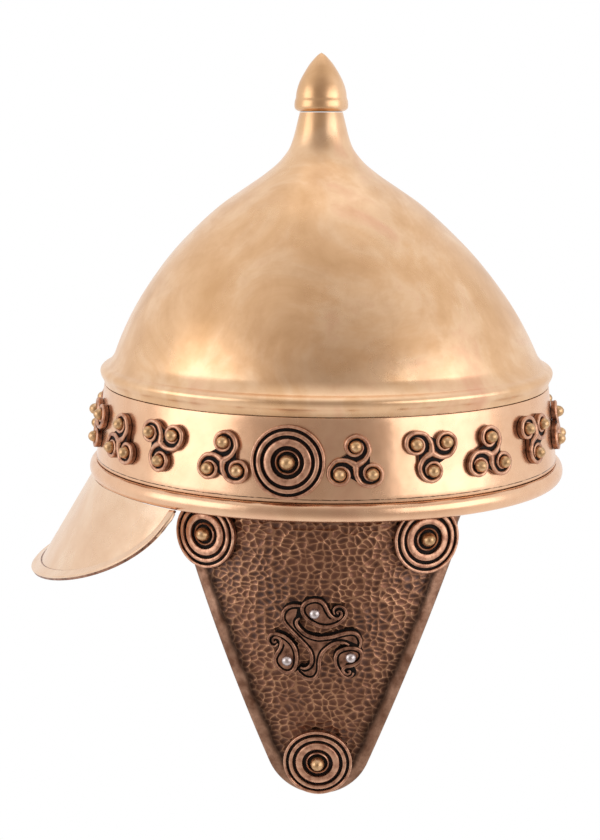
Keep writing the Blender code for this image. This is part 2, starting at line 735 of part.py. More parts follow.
def make_cheek_guards():
    """Both cheek guards, with their hinges, discs, ornaments and balls."""
    points, faces = ornament_mesh()
    reach = CHEEK_TOP_WIDTH / 2 - DISC_INSET
    spots = {"front": (DISC_SET_BACK - reach, DISC_DROP), "back": (DISC_SET_BACK + reach, DISC_DROP),
             "low": (0.0, CHEEK_DROP - LOW_DISC_INSET)}
    lift = CHEEK_BORDER_RAISE + GAP
    for side_name, side in SIDES.items():
        frame = CheekFrame(side)
        make_hinge(side_name, frame)
        make_cheek_plate("cheek_plate_" + side_name, frame)
        for spot, (aside, drop) in spots.items():
            place = shifted(frame.on_face, side * aside, -drop)
            name = f"{side_name}_{spot}"
            make_disc("cheek_disc_" + name, DISC_WIDTH, DISC_HEIGHT, lift, place)
            seat = lift + DISC_HEIGHT * DISC_SECTIONS[-1][1] + GAP
            make_ball("cheek_disc_ball_" + name, DISC_BALL, seat, "aged_brass", place)
        place = shifted(frame.on_face, 0.0, -ORNAMENT_DROP)
        make_object("cheek_ornament_" + side_name, points, faces, "dark_copper", place)
        for arm in range(3):
            turn = Matrix.Rotation(arm * 2.0 * pi / 3, 2)
            spot = turn @ Vector(ORNAMENT_BALL_PLACE) * ORNAMENT_RADIUS
            seat = ORNAMENT_HEIGHT + 2 * GAP
            make_ball(f"ornament_ball_{side_name}_{arm + 1}", ORNAMENT_BALL, seat, "silver",
                      shifted(place, *spot))


clear_scene()
make_skull()
make_knob()
make_band()
make_rim()
make_neck_guard()
make_medallions()
make_triskeles()
make_cheek_guards()
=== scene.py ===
"""The looks of a conical bronze helmet: skull, knob, band, neck guard, triskeles and cheek guards.

Metres, in the model's own frame: +Z up, the wearer looks along -Y, the wearer's right is -X.
A flat drawing is laid on a wall as (across, up, proud), as seen from outside.
"""
import bpy
from math import acos, atan, atan2, cos, hypot, pi, radians, sin, sqrt
from mathutils import Matrix, Vector


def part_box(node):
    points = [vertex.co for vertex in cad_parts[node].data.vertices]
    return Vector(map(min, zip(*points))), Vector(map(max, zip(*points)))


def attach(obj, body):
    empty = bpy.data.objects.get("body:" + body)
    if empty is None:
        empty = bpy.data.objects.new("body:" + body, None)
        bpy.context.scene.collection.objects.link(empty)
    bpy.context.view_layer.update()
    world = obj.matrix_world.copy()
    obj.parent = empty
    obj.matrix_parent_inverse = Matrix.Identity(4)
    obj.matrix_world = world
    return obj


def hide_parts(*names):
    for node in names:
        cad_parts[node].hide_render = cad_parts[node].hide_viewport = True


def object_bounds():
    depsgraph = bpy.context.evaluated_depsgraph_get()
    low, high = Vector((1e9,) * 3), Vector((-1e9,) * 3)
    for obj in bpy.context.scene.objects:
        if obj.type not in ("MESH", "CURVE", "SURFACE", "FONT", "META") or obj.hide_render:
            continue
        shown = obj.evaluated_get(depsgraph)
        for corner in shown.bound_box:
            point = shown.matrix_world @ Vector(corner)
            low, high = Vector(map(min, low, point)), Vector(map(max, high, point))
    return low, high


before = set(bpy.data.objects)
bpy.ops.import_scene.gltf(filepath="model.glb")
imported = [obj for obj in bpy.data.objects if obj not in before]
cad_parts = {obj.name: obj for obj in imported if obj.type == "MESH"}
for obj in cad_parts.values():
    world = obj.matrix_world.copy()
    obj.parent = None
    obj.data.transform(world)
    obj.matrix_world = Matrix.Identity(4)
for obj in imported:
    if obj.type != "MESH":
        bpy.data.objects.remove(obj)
CAD_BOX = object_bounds()
MM = 0.001
WELD = 0.000001

# Sizes repeated from the model, in millimetres
BAND_FLARE = 4.8
BAND_SHEET = 1.0
BAND_HEIGHT = 37.1
RIM_HEIGHT = 8.4
RIM_PROUD = 3.2
RIM_LAP = 0.8
BEAD_HEIGHT = 9.6
BEAD_PROUD = 5.4
DOME_INSET = 3.6
SKULL_RISE = 120.3
SKULL_SHEET = 1.2
NECK_RADIUS = 10.3
CROWN_SET_BACK = 2.2
SEAT = 0.3
BAND_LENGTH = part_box("brow_band")[1].y * 2000.0
BAND_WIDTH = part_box("brow_band")[1].x * 2000.0
BAND_TOP = RIM_HEIGHT + BAND_HEIGHT
DOME_FOOT = BAND_TOP + BEAD_HEIGHT
NECK_TOP = DOME_FOOT + SKULL_RISE
OVALNESS = (BAND_LENGTH - BAND_WIDTH) / 2
FLARE_ANGLE = atan(BAND_FLARE / BAND_HEIGHT)
SIDES = {"right": -1, "left": 1}
RING_STEPS = 192


def band_axes(z, inside=0.0):
    """Half length and half width of the band's outer face at a height."""
    inset = BAND_FLARE * max(0.0, (z - RIM_HEIGHT) / BAND_HEIGHT) + inside
    return BAND_LENGTH / 2 - inset, BAND_WIDTH / 2 - inset


def smooth_row(knots, position):
    """A value of a smooth curve through (position, value) knots."""
    last = len(knots) - 1
    index = 0
    while index < last - 1 and position > knots[index + 1][0]:
        index += 1
    before, after = knots[index], knots[index + 1]
    span = after[0] - before[0]

    def slope(spot):
        if spot == 0 or spot == last:
            low, high = max(0, spot - 1), min(last, spot + 1)
            return (knots[high][1] - knots[low][1]) / (knots[high][0] - knots[low][0])
        left = (knots[spot][1] - knots[spot - 1][1]) / (knots[spot][0] - knots[spot - 1][0])
        right = (knots[spot + 1][1] - knots[spot][1]) / (knots[spot + 1][0] - knots[spot][0])
        if left * right <= 0.0:
            return 0.0
        return 2.0 * left * right / (left + right)

    share = min(1.0, max(0.0, (position - before[0]) / span))
    square, cube = share * share, share ** 3
    return ((2 * cube - 3 * square + 1) * before[1] + (cube - 2 * square + share) * span * slope(index)
            + (3 * square - 2 * cube) * after[1] + (cube - square) * span * slope(index + 1))


def deselect():
    """Leaves nothing selected."""
    if bpy.context.object and bpy.context.object.mode != "OBJECT":
        bpy.ops.object.mode_set(mode="OBJECT")
    bpy.ops.object.select_all(action="DESELECT")


def take(piece):
    """Makes one piece the only one selected."""
    deselect()
    piece.select_set(True)
    bpy.context.view_layer.objects.active = piece


def edit(piece):
    """Opens a piece in edit mode with all of it selected."""
    take(piece)
    bpy.ops.object.mode_set(mode="EDIT")
    bpy.ops.mesh.select_all(action="SELECT")


def done():
    """Back to object mode."""
    bpy.ops.object.mode_set(mode="OBJECT")


def outwards(piece):
    """Turns the faces of a piece outwards."""
    edit(piece)
    bpy.ops.mesh.normals_make_consistent(inside=False)
    done()
    return piece


def flipped(piece):
    """Turns every face of a piece over."""
    edit(piece)
    bpy.ops.mesh.flip_normals()
    done()
    return piece


def linked(name, data):
    """A new object of the scene, made of its data."""
    piece = bpy.data.objects.new(name, data)
    bpy.context.scene.collection.objects.link(piece)
    return piece


def wire(name, points, closed=False):
    """A chain of edges, in millimetres, to be spun or extruded."""
    mesh = bpy.data.meshes.new(name)
    links = [(index, index + 1) for index in range(len(points) - 1)]
    if closed:
        links.append((len(points) - 1, 0))
    mesh.from_pydata([Vector(point) * MM for point in points], links, [])
    return linked(name, mesh)


def turned(name, section, steps=RING_STEPS, closed=False):
    """A body spun about the upright axis from a section of (radius, height)."""
    piece = wire(name, [(radius, 0.0, height) for radius, height in section], closed)
    edit(piece)
    bpy.ops.mesh.spin(steps=steps, angle=2 * pi, center=(0, 0, 0), axis=(0, 0, 1))
    bpy.ops.mesh.select_all(action="SELECT")
    bpy.ops.mesh.remove_doubles(threshold=WELD)
    done()
    return outwards(piece)


def joined(name, pieces):
    """Several pieces as one."""
    take(pieces[0])
    for piece in pieces[1:]:
        piece.select_set(True)
    bpy.ops.object.join()
    pieces[0].name = name
    pieces[0].data.name = name
    return pieces[0]


def rounded(piece, corner):
    """Shades a piece smooth, with corners sharper than so many degrees kept."""
    take(piece)
    bpy.ops.object.shade_smooth_by_angle(angle=radians(corner))


def moved(piece, change):
    """Moves each point of a piece by a rule that takes and gives millimetres."""
    for vertex in piece.data.vertices:
        vertex.co = Vector(change(*(vertex.co / MM))) * MM
    piece.data.update()
    return piece


def copied(piece, name):
    """A copy with its own mesh."""
    twin = piece.copy()
    twin.data = piece.data.copy()
    twin.name = name
    twin.data.name = name
    bpy.context.scene.collection.objects.link(twin)
    return twin


def clad(piece, *materials):
    """Gives a piece its materials."""
    piece.data.materials.clear()
    for material in materials:
        piece.data.materials.append(material)
    return piece


def settle(piece, corner, body, slot, *nodes):
    """Shades a finished piece and hands it to its body, in the place of its solids."""
    rounded(piece, corner)
    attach(piece, body)
    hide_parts(*nodes)


# Colours and metals


def shade(code):
    """A linear colour from an sRGB hex value."""
    parts = [int(code[start:start + 2], 16) / 255 for start in (1, 3, 5)]
    return [part / 12.92 if part <= 0.04045 else ((part + 0.055) / 1.055) ** 2.4 for part in parts] + [1.0]


def add(tree, kind, settings=None, **links):
    """Adds a node with its settings, and links or sets its sockets by name."""
    node = tree.nodes.new(kind)
    for key, value in (settings or {}).items():
        setattr(node, key, value)
    for socket, value in links.items():
        spot = int(socket[1:]) if socket[0] == "n" and socket[1:].isdigit() else socket.replace("_", " ")
        target = node.inputs[spot]
        if isinstance(value, bpy.types.NodeSocket):
            tree.links.new(value, target)
        else:
            target.default_value = value
    return node


def ramp(tree, factor, stops):
    """A colour ramp over (position, hex colour or grey) stops."""
    node = add(tree, "ShaderNodeValToRGB", Fac=factor)
    band = node.color_ramp
    while len(band.elements) < len(stops):
        band.elements.new(0.5)
    for element, (position, value) in zip(band.elements, stops):
        element.position = position
        element.color = shade(value) if isinstance(value, str) else (value, value, value, 1.0)
    return node.outputs["Color"]


def new_finish(name, roughness, metallic=1.0):
    """A plain finish, metal unless told: its material, tree and shader."""
    material = bpy.data.materials.new(name)
    material.use_nodes = True
    shader = material.node_tree.nodes["Principled BSDF"]
    shader.inputs["Metallic"].default_value = metallic
    shader.inputs["Roughness"].default_value = roughness
    return material, material.node_tree, shader


def place(tree, *stretch):
    """Object coordinates, stretched where a pattern is."""
    spot = add(tree, "ShaderNodeTexCoord").outputs["Object"]
    if stretch:
        spot = add(tree, "ShaderNodeMapping", Vector=spot, Scale=stretch).outputs["Vector"]
    return spot


def noise(tree, spot, grain, detail=4.0, roughness=0.55, twist=0.0):
    """Noise whose grain is given in millimetres."""
    node = add(tree, "ShaderNodeTexNoise", Vector=spot, Scale=1000.0 / grain, Detail=detail,
               Roughness=roughness, Distortion=twist)
    return node.outputs["Fac"]


def mix(tree, factor, first, second):
    """A mix of two colours."""
    settings = {"data_type": "RGBA"}
    return add(tree, "ShaderNodeMix", settings, n0=factor, n6=first, n7=second).outputs[2]


def math(tree, operation, first, second=0.0):
    """Arithmetic on values."""
    return add(tree, "ShaderNodeMath", {"operation": operation}, n0=first, n1=second).outputs[0]


def bump(tree, height, depth):
    """A relief of the given depth in millimetres."""
    return add(tree, "ShaderNodeBump", Height=height, Distance=depth * MM, Strength=1.0).outputs["Normal"]


def wear(tree, shader, **looks):
    """Links what a finish looks like to the shader's sockets of those names."""
    for socket, output in looks.items():
        tree.links.new(output, shader.inputs[socket.replace("_", " ")])


SEAM_WANDER = 0.4


def raised_bronze(name, tones, roughness, seams=()):
    """Tin bronze, raised by hammer and polished by hand: soft clouds of tone, faint planishing,
    blurred reflections, and dark lines of old polish where two sheets meet."""
    material, tree, shader = new_finish(name, roughness)
    spot = place(tree)
    clouds = noise(tree, spot, 46.0, 5.0, 0.6, 0.6)
    tone = ramp(tree, clouds, [(0.3, tones[0]), (0.47, tones[1]), (0.56, tones[2]), (0.72, tones[3])])
    stains = noise(tree, spot, 11.0, 6.0, 0.62, 0.3)
    tone = mix(tree, ramp(tree, stains, [(0.44, 0.0), (0.72, 0.36)]), tone, shade(tones[4]))
    for height, width in seams:
        depth = add(tree, "ShaderNodeSeparateXYZ", Vector=spot).outputs["Z"]
        wander = noise(tree, spot, 9.0, 2.0)
        wander = math(tree, "MULTIPLY", math(tree, "SUBTRACT", wander, 0.5), SEAM_WANDER * MM)
        line = math(tree, "ADD", depth, wander)
        off = math(tree, "ABSOLUTE", math(tree, "SUBTRACT", line, height * MM))
        mask = ramp(tree, math(tree, "DIVIDE", off, width * MM), [(0.35, 1.0), (0.95, 0.0)])
        broken = ramp(tree, noise(tree, spot, 2.6, 3.0), [(0.36, 0.35), (0.52, 1.0)])
        tone = mix(tree, math(tree, "MULTIPLY", mask, broken), tone, shade("#3A2A20"))
    polish = ramp(tree, noise(tree, spot, 24.0, 5.0, 0.6), [(0.3, roughness - 0.05), (0.7, roughness + 0.07)])
    dents = noise(tree, spot, 15.0, 2.0, 0.4)
    scratches = noise(tree, place(tree, 1.0, 1.0, 9.0), 5.0, 3.0, 0.7)
    relief = math(tree, "ADD", dents, math(tree, "MULTIPLY", scratches, 0.02))
    wear(tree, shader, Base_Color=tone, Roughness=polish, Normal=bump(tree, relief, 0.28))
    return material


def cast_metal(name, tones, roughness, grain=3.0, relief=0.12):
    """A small casting, tumbled and then rubbed: fine pits, darker tone where the hand doesn't reach."""
    material, tree, shader = new_finish(name, roughness)
    spot = place(tree)
    clouds = noise(tree, spot, grain, 5.0, 0.6)
    tone = ramp(tree, clouds, [(0.32, tones[0]), (0.52, tones[1]), (0.7, tones[2])])
    wiped = noise(tree, spot, grain * 0.6, 3.0)
    polish = ramp(tree, wiped, [(0.3, roughness - 0.06), (0.7, roughness + 0.1)])
    pits = noise(tree, spot, grain * 0.5, 3.0)
    wear(tree, shader, Base_Color=tone, Roughness=polish, Normal=bump(tree, pits, relief))
    return material


def cell(tree, spot, feature, output):
    """One reading of the pattern of hammer blows."""
    settings = {"voronoi_dimensions": "2D", "feature": feature}
    node = add(tree, "ShaderNodeTexVoronoi", settings, Vector=spot, Scale=1.0, Randomness=0.82)
    return node.outputs[output]


BLOW_WIDTH = 3.7
BLOW_HEIGHT = 2.65


def patinated_copper():
    """Hammered copper, darkened with liver of sulphur and rubbed back: thin bright ridges between
    small hollows of dark brown, darker in their middles as painted shading, a smoother border,
    and near-black painted shade along its inner edge, on its walls and on the back."""
    material, tree, shader = new_finish("hammered_patinated_copper", 0.36)
    spot = place(tree)
    flat = add(tree, "ShaderNodeUVMap", {"uv_map": "flat"}).outputs["UV"]
    field = add(tree, "ShaderNodeAttribute", {"attribute_name": "field"}).outputs["Fac"]
    # The darkening layer is painted shade: beside the raised border, on the border's walls and on the back
    darkening = add(tree, "ShaderNodeAttribute", {"attribute_name": "darkening"}).outputs["Fac"]
    scale = (1.0 / (BLOW_WIDTH * MM), 1.0 / (BLOW_HEIGHT * MM), 1.0)
    scaled = add(tree, "ShaderNodeMapping", Vector=flat, Scale=scale).outputs["Vector"]
    drift = add(tree, "ShaderNodeTexNoise", {"noise_dimensions": "2D"}, Vector=scaled, Scale=0.45, Detail=1.0)
    scaled = add(tree, "ShaderNodeVectorMath", {"operation": "MULTIPLY_ADD"},
                 n0=drift.outputs["Color"], n1=(0.9, 0.9, 0.0), n2=scaled).outputs["Vector"]
    reach = cell(tree, scaled, "F1", "Distance")
    brim = cell(tree, scaled, "DISTANCE_TO_EDGE", "Distance")
    corner = math(tree, "MULTIPLY", math(tree, "MAXIMUM", math(tree, "SUBTRACT", reach, 0.36), 0.0), 0.24)
    brim = math(tree, "SUBTRACT", brim, corner)
    lot = cell(tree, scaled, "F1", "Color")
    broad = noise(tree, spot, 26.0, 3.0, 0.5)
    rubbed = noise(tree, spot, 13.0, 3.0, 0.6)
    bared = ramp(tree, rubbed, [(0.36, 0.2), (0.66, 0.85)])
    crest = math(tree, "MULTIPLY", ramp(tree, brim, [(0.0, 1.0), (0.03, 0.72), (0.09, 0.0)]), field)
    bowl = mix(tree, lot, shade("#523A31"), shade("#825A4A"))
    bowl = mix(tree, ramp(tree, broad, [(0.36, 0.85), (0.54, 0.0)]), bowl, shade("#473B3A"))
    # Lighter towards each hollow's brim and darker in its middle: the patina kept in the hollow, with painted
    # shading of the dimple
    bowl = mix(tree, ramp(tree, brim, [(0.04, 0.85), (0.36, 0.0)]), bowl, shade("#8C624C"))
    crown = mix(tree, broad, shade("#AA7D62"), shade("#D4A480"))
    worn = ramp(tree, noise(tree, spot, 8.0, 3.0), [(0.34, 0.0), (0.66, 1.0)])
    border = mix(tree, worn, shade("#7A5644"), shade("#B18A74"))
    tone = mix(tree, field, border, bowl)
    tone = mix(tree, math(tree, "MULTIPLY", crest, bared), tone, crown)
    speckle = noise(tree, spot, 1.4, 4.0, 0.6)
    tone = mix(tree, ramp(tree, speckle, [(0.45, 0.0), (0.75, 0.3)]), tone, shade("#38241C"))
    # Near-black painted shade wherever the darkening layer says
    tone = mix(tree, darkening, tone, shade("#1E1410"))
    polish = ramp(tree, speckle, [(0.3, 0.3), (0.7, 0.44)])
    hollow = math(tree, "MULTIPLY", math(tree, "MINIMUM", math(tree, "MULTIPLY", reach, reach), 0.5), field)
    soft = math(tree, "MULTIPLY", noise(tree, spot, 6.0, 2.0, 0.4), 0.3)
    relief = math(tree, "ADD", hollow, math(tree, "ADD", soft, math(tree, "MULTIPLY", speckle, 0.1)))
    wear(tree, shader, Base_Color=tone, Roughness=polish, Normal=bump(tree, relief, 0.9))
    return material


def black_patina():
    """Sulphide left in the recesses: nearly black and matt."""
    material, tree, shader = new_finish("black_copper_patina", 0.62, 0.7)
    darkening = noise(tree, place(tree), 1.5, 4.0)
    tone = ramp(tree, darkening, [(0.35, "#0E0908"), (0.62, "#1E1310"), (0.8, "#3A231B")])
    wear(tree, shader, Base_Color=tone)
    return material


# The dome and knob: warm gold with soft brown clouds in it
BRONZE = raised_bronze("raised_polished_bronze",
                       ("#D6A97C", "#E4B98F", "#ECC6A0", "#E3B190", "#CB9C72"), 0.29)
# The band and its roll: rosier and brighter, with dark lines where they meet
ROSY_BRONZE = raised_bronze("rolled_rosy_bronze",
                            ("#DFB08C", "#E8BB98", "#EAC09E", "#DFAE8F", "#D3A280"), 0.25,
                            ((RIM_HEIGHT + 0.1, 0.2), (RIM_HEIGHT + 1.55, 0.28), (BAND_TOP, 0.3)))
# The neck guard: pale and nearly even
PALE_BRONZE = raised_bronze("pale_polished_bronze",
                            ("#E2BC9C", "#EBC8A9", "#EECFB2", "#E6C0A4", "#D8B08E"), 0.28)
# Rings and loops: pink-brown, brighter where they are rubbed
COPPER = cast_metal("rubbed_cast_copper", ("#A0715D", "#CC9C81", "#DAAE93"), 0.36)
# The ornaments' wires and panels: the same metal, left brown
DARK_COPPER = cast_metal("dark_cast_copper", ("#5E4134", "#9A705C", "#B48A72"), 0.4)
# The balls: dull yellow
BRASS = cast_metal("aged_brass", ("#A4835F", "#CEA67B", "#DEBA98"), 0.34, 2.0, 0.06)
# The ornaments' balls: small and whitish
SILVER = cast_metal("rubbed_silver", ("#A89C9C", "#CABFBF", "#DAD0CE"), 0.3, 2.0, 0.05)
HAMMERED = patinated_copper()
PATINA = black_patina()


# The raised skull and what is turned with it

# Rows of (share of the height, share of the radius)
DOME_ROWS = (
    (0.0, 1.0), (0.11, 0.94), (0.22, 0.866), (0.33, 0.773), (0.44, 0.662),
    (0.55, 0.525), (0.64, 0.394), (0.7, 0.284), (0.76, 0.173), (0.81, 0.099),
    (0.87, 0.046), (1.0, 0.0),
)
# Rows of (share of the height, share of how proud it stands)
BEAD_ROWS = (
    (0.0, 0.64), (0.14, 0.69), (0.28, 0.78), (0.4, 0.89), (0.52, 0.97), (0.64, 1.0),
    (0.75, 0.95), (0.86, 0.78), (0.94, 0.5), (1.0, 0.24),
)
FOOT_LENGTH, FOOT_WIDTH = band_axes(BAND_TOP, DOME_INSET)
ROUNDING_START = 0.36
ROUNDING_SPAN = 0.5
HOLLOW_SHARE = 0.74
HOLLOW_CAP = ((0.7, 1.6), (0.35, 2.4), (0.0, 2.6))


def dome_radius(z):
    """The dome's half length at a height."""
    share = (z - DOME_FOOT) / SKULL_RISE
    return NECK_RADIUS + (FOOT_LENGTH - NECK_RADIUS) * smooth_row(DOME_ROWS, share)


def squeeze(x, y, z):
    """Presses a turned body into the helmet's oval and sets its crown back."""
    radius = hypot(x, y)
    if radius < 0.01:
        return x, y + CROWN_SET_BACK, z
    share = (z - DOME_FOOT) / SKULL_RISE
    rounding = max(0.0, min(1.0, (share - ROUNDING_START) / ROUNDING_SPAN))
    blend = rounding * rounding * (3.0 - 2.0 * rounding)
    foot_ratio = FOOT_WIDTH / FOOT_LENGTH
    ratio = (radius - OVALNESS) / radius if share < 0.0 else foot_ratio + (1.0 - foot_ratio) * blend
    return x * ratio, y + CROWN_SET_BACK * min(1.0, max(0.0, 2.0 * share)), z


def make_skull():
    """Dome, bead and the wall behind the band, open below."""
    outer = [(BAND_LENGTH / 2 - BAND_SHEET - SEAT, 0.0)]
    outer += [(band_axes(z, BAND_SHEET + SEAT)[0], z) for z in (0.3, RIM_HEIGHT, BAND_TOP - 0.05)]
    for step in range(31):
        share = step / 30
        z = BAND_TOP + SEAT + (BEAD_HEIGHT - SEAT) * share
        outer.append((FOOT_LENGTH + BEAD_PROUD * smooth_row(BEAD_ROWS, share), z))
    for step in range(3, 91):
        z = DOME_FOOT + SKULL_RISE * (step / 90)
        outer.append((dome_radius(z), z))
    outer.append((0.0, NECK_TOP))
    inner = []
    for z in (0.0, RIM_HEIGHT, BAND_TOP - SKULL_SHEET):
        inner.append((band_axes(z, BAND_SHEET + SEAT + SKULL_SHEET)[0], z))
    for step in range(40):
        z = DOME_FOOT + SKULL_RISE * HOLLOW_SHARE * (step / 40)
        lean = dome_radius(z) - dome_radius(z + 1.0)
        length = hypot(1.0, lean)
        inner.append((dome_radius(z) - SKULL_SHEET / length, z - SKULL_SHEET * lean / length))
    radius, top = inner[-1]
    inner += [(radius * part, top + rise) for part, rise in HOLLOW_CAP]
    piece = turned("skull_shell", outer[::-1] + inner)
    moved(piece, squeeze)
    settle(clad(piece, BRONZE), 50.0, "shell", "golden_bronze", "skull")


# Rows of (share of the height, share of the radius)
KNOB_ROWS = (
    (0.0, 0.78), (0.02, 0.9), (0.06, 0.985), (0.11, 1.0), (0.18, 0.985), (0.24, 0.945),
    (0.31, 0.93), (0.42, 0.875), (0.55, 0.765), (0.68, 0.61), (0.8, 0.445), (0.9, 0.265),
    (0.97, 0.11), (1.0, 0.0),
)
KNOB_HEIGHT = 27.5
KNOB_RADIUS = 12.9


def make_knob():
    """The pointed knob on the neck, with a ring turned into its foot."""
    foot = NECK_TOP + SEAT
    section = [(0.0, foot)]
    for step in range(61):
        share = step / 60
        section.append((KNOB_RADIUS * smooth_row(KNOB_ROWS, share), foot + KNOB_HEIGHT * share))
    piece = turned("crown_knob", section, 64)
    moved(piece, lambda x, y, z: (x, y + CROWN_SET_BACK, z))
    settle(clad(piece, BRONZE), 45.0, "shell", "golden_bronze", "knob")


def make_band():
    """The plain band, its edges softened by the hammer."""
    low, high = RIM_HEIGHT + SEAT / 2, BAND_TOP - SEAT / 2
    edge, soft = 0.35, 0.1
    section = [(band_axes(low, edge)[0], low), (band_axes(low, soft)[0], low + soft)]
    section += [(band_axes(low + edge)[0], low + edge)]
    for step in range(1, 12):
        z = low + edge + (high - low - 2 * edge) * step / 12
        section.append((band_axes(z)[0], z))
    section += [(band_axes(high - edge)[0], high - edge), (band_axes(high, soft)[0], high - soft)]
    section += [(band_axes(high, edge)[0], high), (band_axes(high, BAND_SHEET)[0], high)]
    section += [(band_axes(low, BAND_SHEET)[0], low)]
    piece = turned("band_sheet", section, closed=True)
    moved(piece, squeeze)
    settle(clad(piece, ROSY_BRONZE), 50.0, "shell", "rosy_bronze", "brow_band")


def make_rim():
    """The half-round roll along the lower edge."""
    half = (RIM_HEIGHT - SEAT / 2) / 2
    section = []
    for step in range(25):
        turn = radians(-90.0 + 180.0 * step / 24)
        section.append((BAND_LENGTH / 2 + RIM_PROUD * abs(cos(turn)) ** 0.85, half + half * sin(turn)))
    section += [(BAND_LENGTH / 2 - RIM_LAP, 2 * half), (BAND_LENGTH / 2 - RIM_LAP, 0.0)]
    piece = turned("rim_bead", section, closed=True)
    moved(piece, squeeze)
    settle(clad(piece, ROSY_BRONZE), 50.0, "shell", "rosy_bronze", "rim_roll")


# The neck guard

GUARD_REACH = 59.5
GUARD_SLOPE = radians(59.0)
GUARD_SPREAD = radians(63.0)
GUARD_SHEET = 1.4
GUARD_START = radians(-60.0)
GUARD_CLEARANCE = 0.35
LIP_WIDTH = 6.5
LIP_FLARE = radians(24.0)
LIP_SHARE = 0.97
LIP_TIP_SHARE = 0.7
HEM_BACK = 0.65
HEM_STEP = 0.4
HEM_FOLD = 0.05
HEM_TAPER = 12.0
PLAIN_ROWS = 12 / 28
GUARD_TIPS = 0.993
EDGE_WIRE = 1.1
EDGE_RISE = 0.84
EDGE_DROP = 0.5
EDGE_ROOT = (1.6, 0.3)


def oval_frame(half_length, half_width, turn, z):
    """A point of an oval and its outward direction in plan."""
    point = Vector((-half_width * sin(turn), -half_length * cos(turn), z))
    return point, Vector((-half_length * sin(turn), -half_width * cos(turn), 0.0)).normalized()


def guard_point(turn, down, proud):
    """A point of the apron: turn from the back, way down its slope, height over its face."""
    half = (RIM_HEIGHT - SEAT / 2) / 2
    offset = RIM_PROUD * cos(GUARD_START)
    z = half + half * sin(GUARD_START)
    lean = atan2(sin(GUARD_START) / RIM_HEIGHT * 2, cos(GUARD_START) / RIM_PROUD)
    offset += GUARD_CLEARANCE * cos(lean)
    z += GUARD_CLEARANCE * sin(lean)
    base, normal = oval_frame(BAND_LENGTH / 2 + offset, BAND_WIDTH / 2 + offset, pi + turn, z)
    along = Vector((0.0, 0.0, -sin(GUARD_SLOPE))) + normal * cos(GUARD_SLOPE)
    face = Vector((0.0, 0.0, cos(GUARD_SLOPE))) + normal * sin(GUARD_SLOPE)
    return base + along * down + face * proud


def grid(name, columns, rows):
    """A flat grid of one unit, from a primitive, with its corner at nought."""
    deselect()
    bpy.ops.mesh.primitive_grid_add(x_subdivisions=columns, y_subdivisions=rows, size=1.0,
                                    location=(0.5, 0.5, 0))
    bpy.ops.object.transform_apply(location=True)
    piece = bpy.context.object
    piece.name = name
    return piece


def rod(name, spots, fineness):
    """A round wire through spots of (point, radius) in millimetres, as a mesh."""
    curve = bpy.data.curves.new(name, "CURVE")
    curve.dimensions = "3D"
    curve.bevel_depth = MM
    curve.bevel_resolution = fineness
    curve.use_fill_caps = True
    spline = curve.splines.new("POLY")
    spline.points.add(len(spots) - 1)
    for knot, (point, radius) in zip(spline.points, spots):
        knot.co = (*(Vector(point) * MM), 1.0)
        knot.radius = radius
    take(linked(name, curve))
    bpy.ops.object.convert(target="MESH")
    return bpy.context.object


def thickened(piece, wall):
    """Gives a sheet its wall behind its face. Its cut edge takes the material after the face's."""
    take(piece)
    solidify = piece.modifiers.new("wall", "SOLIDIFY")
    solidify.thickness = wall * MM
    solidify.offset = -1.0
    solidify.material_offset_rim = 1
    bpy.ops.object.modifier_apply(modifier="wall")


def guard_hem(turn):
    """How far the apron reaches at one turn, how much of that is hem, and its lip's rise and draw."""
    part = turn / GUARD_SPREAD
    rest = sqrt(max(0.0004, 1.0 - part * part))
    reach = GUARD_REACH * rest
    steepness = GUARD_REACH * part / rest / GUARD_SPREAD / (BAND_LENGTH / 2)
    hem = min(LIP_WIDTH * hypot(1.0, steepness), LIP_SHARE * reach)
    lip = min(LIP_WIDTH, LIP_TIP_SHARE * reach)
    return reach, hem, lip * sin(LIP_FLARE), lip * (1.0 - cos(LIP_FLARE)) + HEM_BACK


def make_neck_guard():
    """The apron behind the neck. Its hem turns up into a lip whose rim is thick and round."""
    columns, rows = 132, 28
    piece = grid("neck_apron", columns, rows)
    half = GUARD_SPREAD * GUARD_TIPS

    def bend(x, y, _):
        turn = half * sin(pi / 2 * (2.0 * x * MM - 1.0))
        share = y * MM
        reach, hem, lift, draw = guard_hem(turn)
        past = max(0.0, (share - PLAIN_ROWS) / (1.0 - PLAIN_ROWS))
        down = (reach - hem) * min(1.0, share / PLAIN_ROWS) + hem * past
        rise = lift * past + HEM_STEP * min(1.0, past / HEM_FOLD) * min(1.0, reach / HEM_TAPER)
        return guard_point(turn, down - draw * past, rise)

    outwards(moved(piece, bend))
    if piece.data.polygons[columns * rows // 2].normal.z < 0.0:
        flipped(piece)
    clad(piece, PALE_BRONZE, DARK_COPPER)
    # The row along the hem's fold is clad in dark copper: a dark line of patina in the fold, with painted
    # shade in its crease
    fold = round(rows * PLAIN_ROWS)
    for face in piece.data.polygons:
        face.material_index = 1 if face.index // columns == fold else 0
    thickened(piece, GUARD_SHEET)
    edge = []
    for step in range(121):
        turn = half * sin(pi / 2 * (2.0 * step / 120 - 1.0))
        reach, _, lift, draw = guard_hem(turn)
        edge.append(guard_point(turn, reach - draw - EDGE_WIRE, lift * EDGE_RISE - EDGE_DROP))
    edge = [guard_point(-half, *EDGE_ROOT)] + edge + [guard_point(half, *EDGE_ROOT)]
    roll = clad(rod("guard_edge", [(point, EDGE_WIRE) for point in edge], 3), PALE_BRONZE)
    settle(joined("neck_apron", [piece, roll]), 30.0, "shell", "golden_bronze", "neck_guard")


# Relief: ridges, plates, rings and balls drawn flat and laid on their walls

BALL_LIFT = 0.31


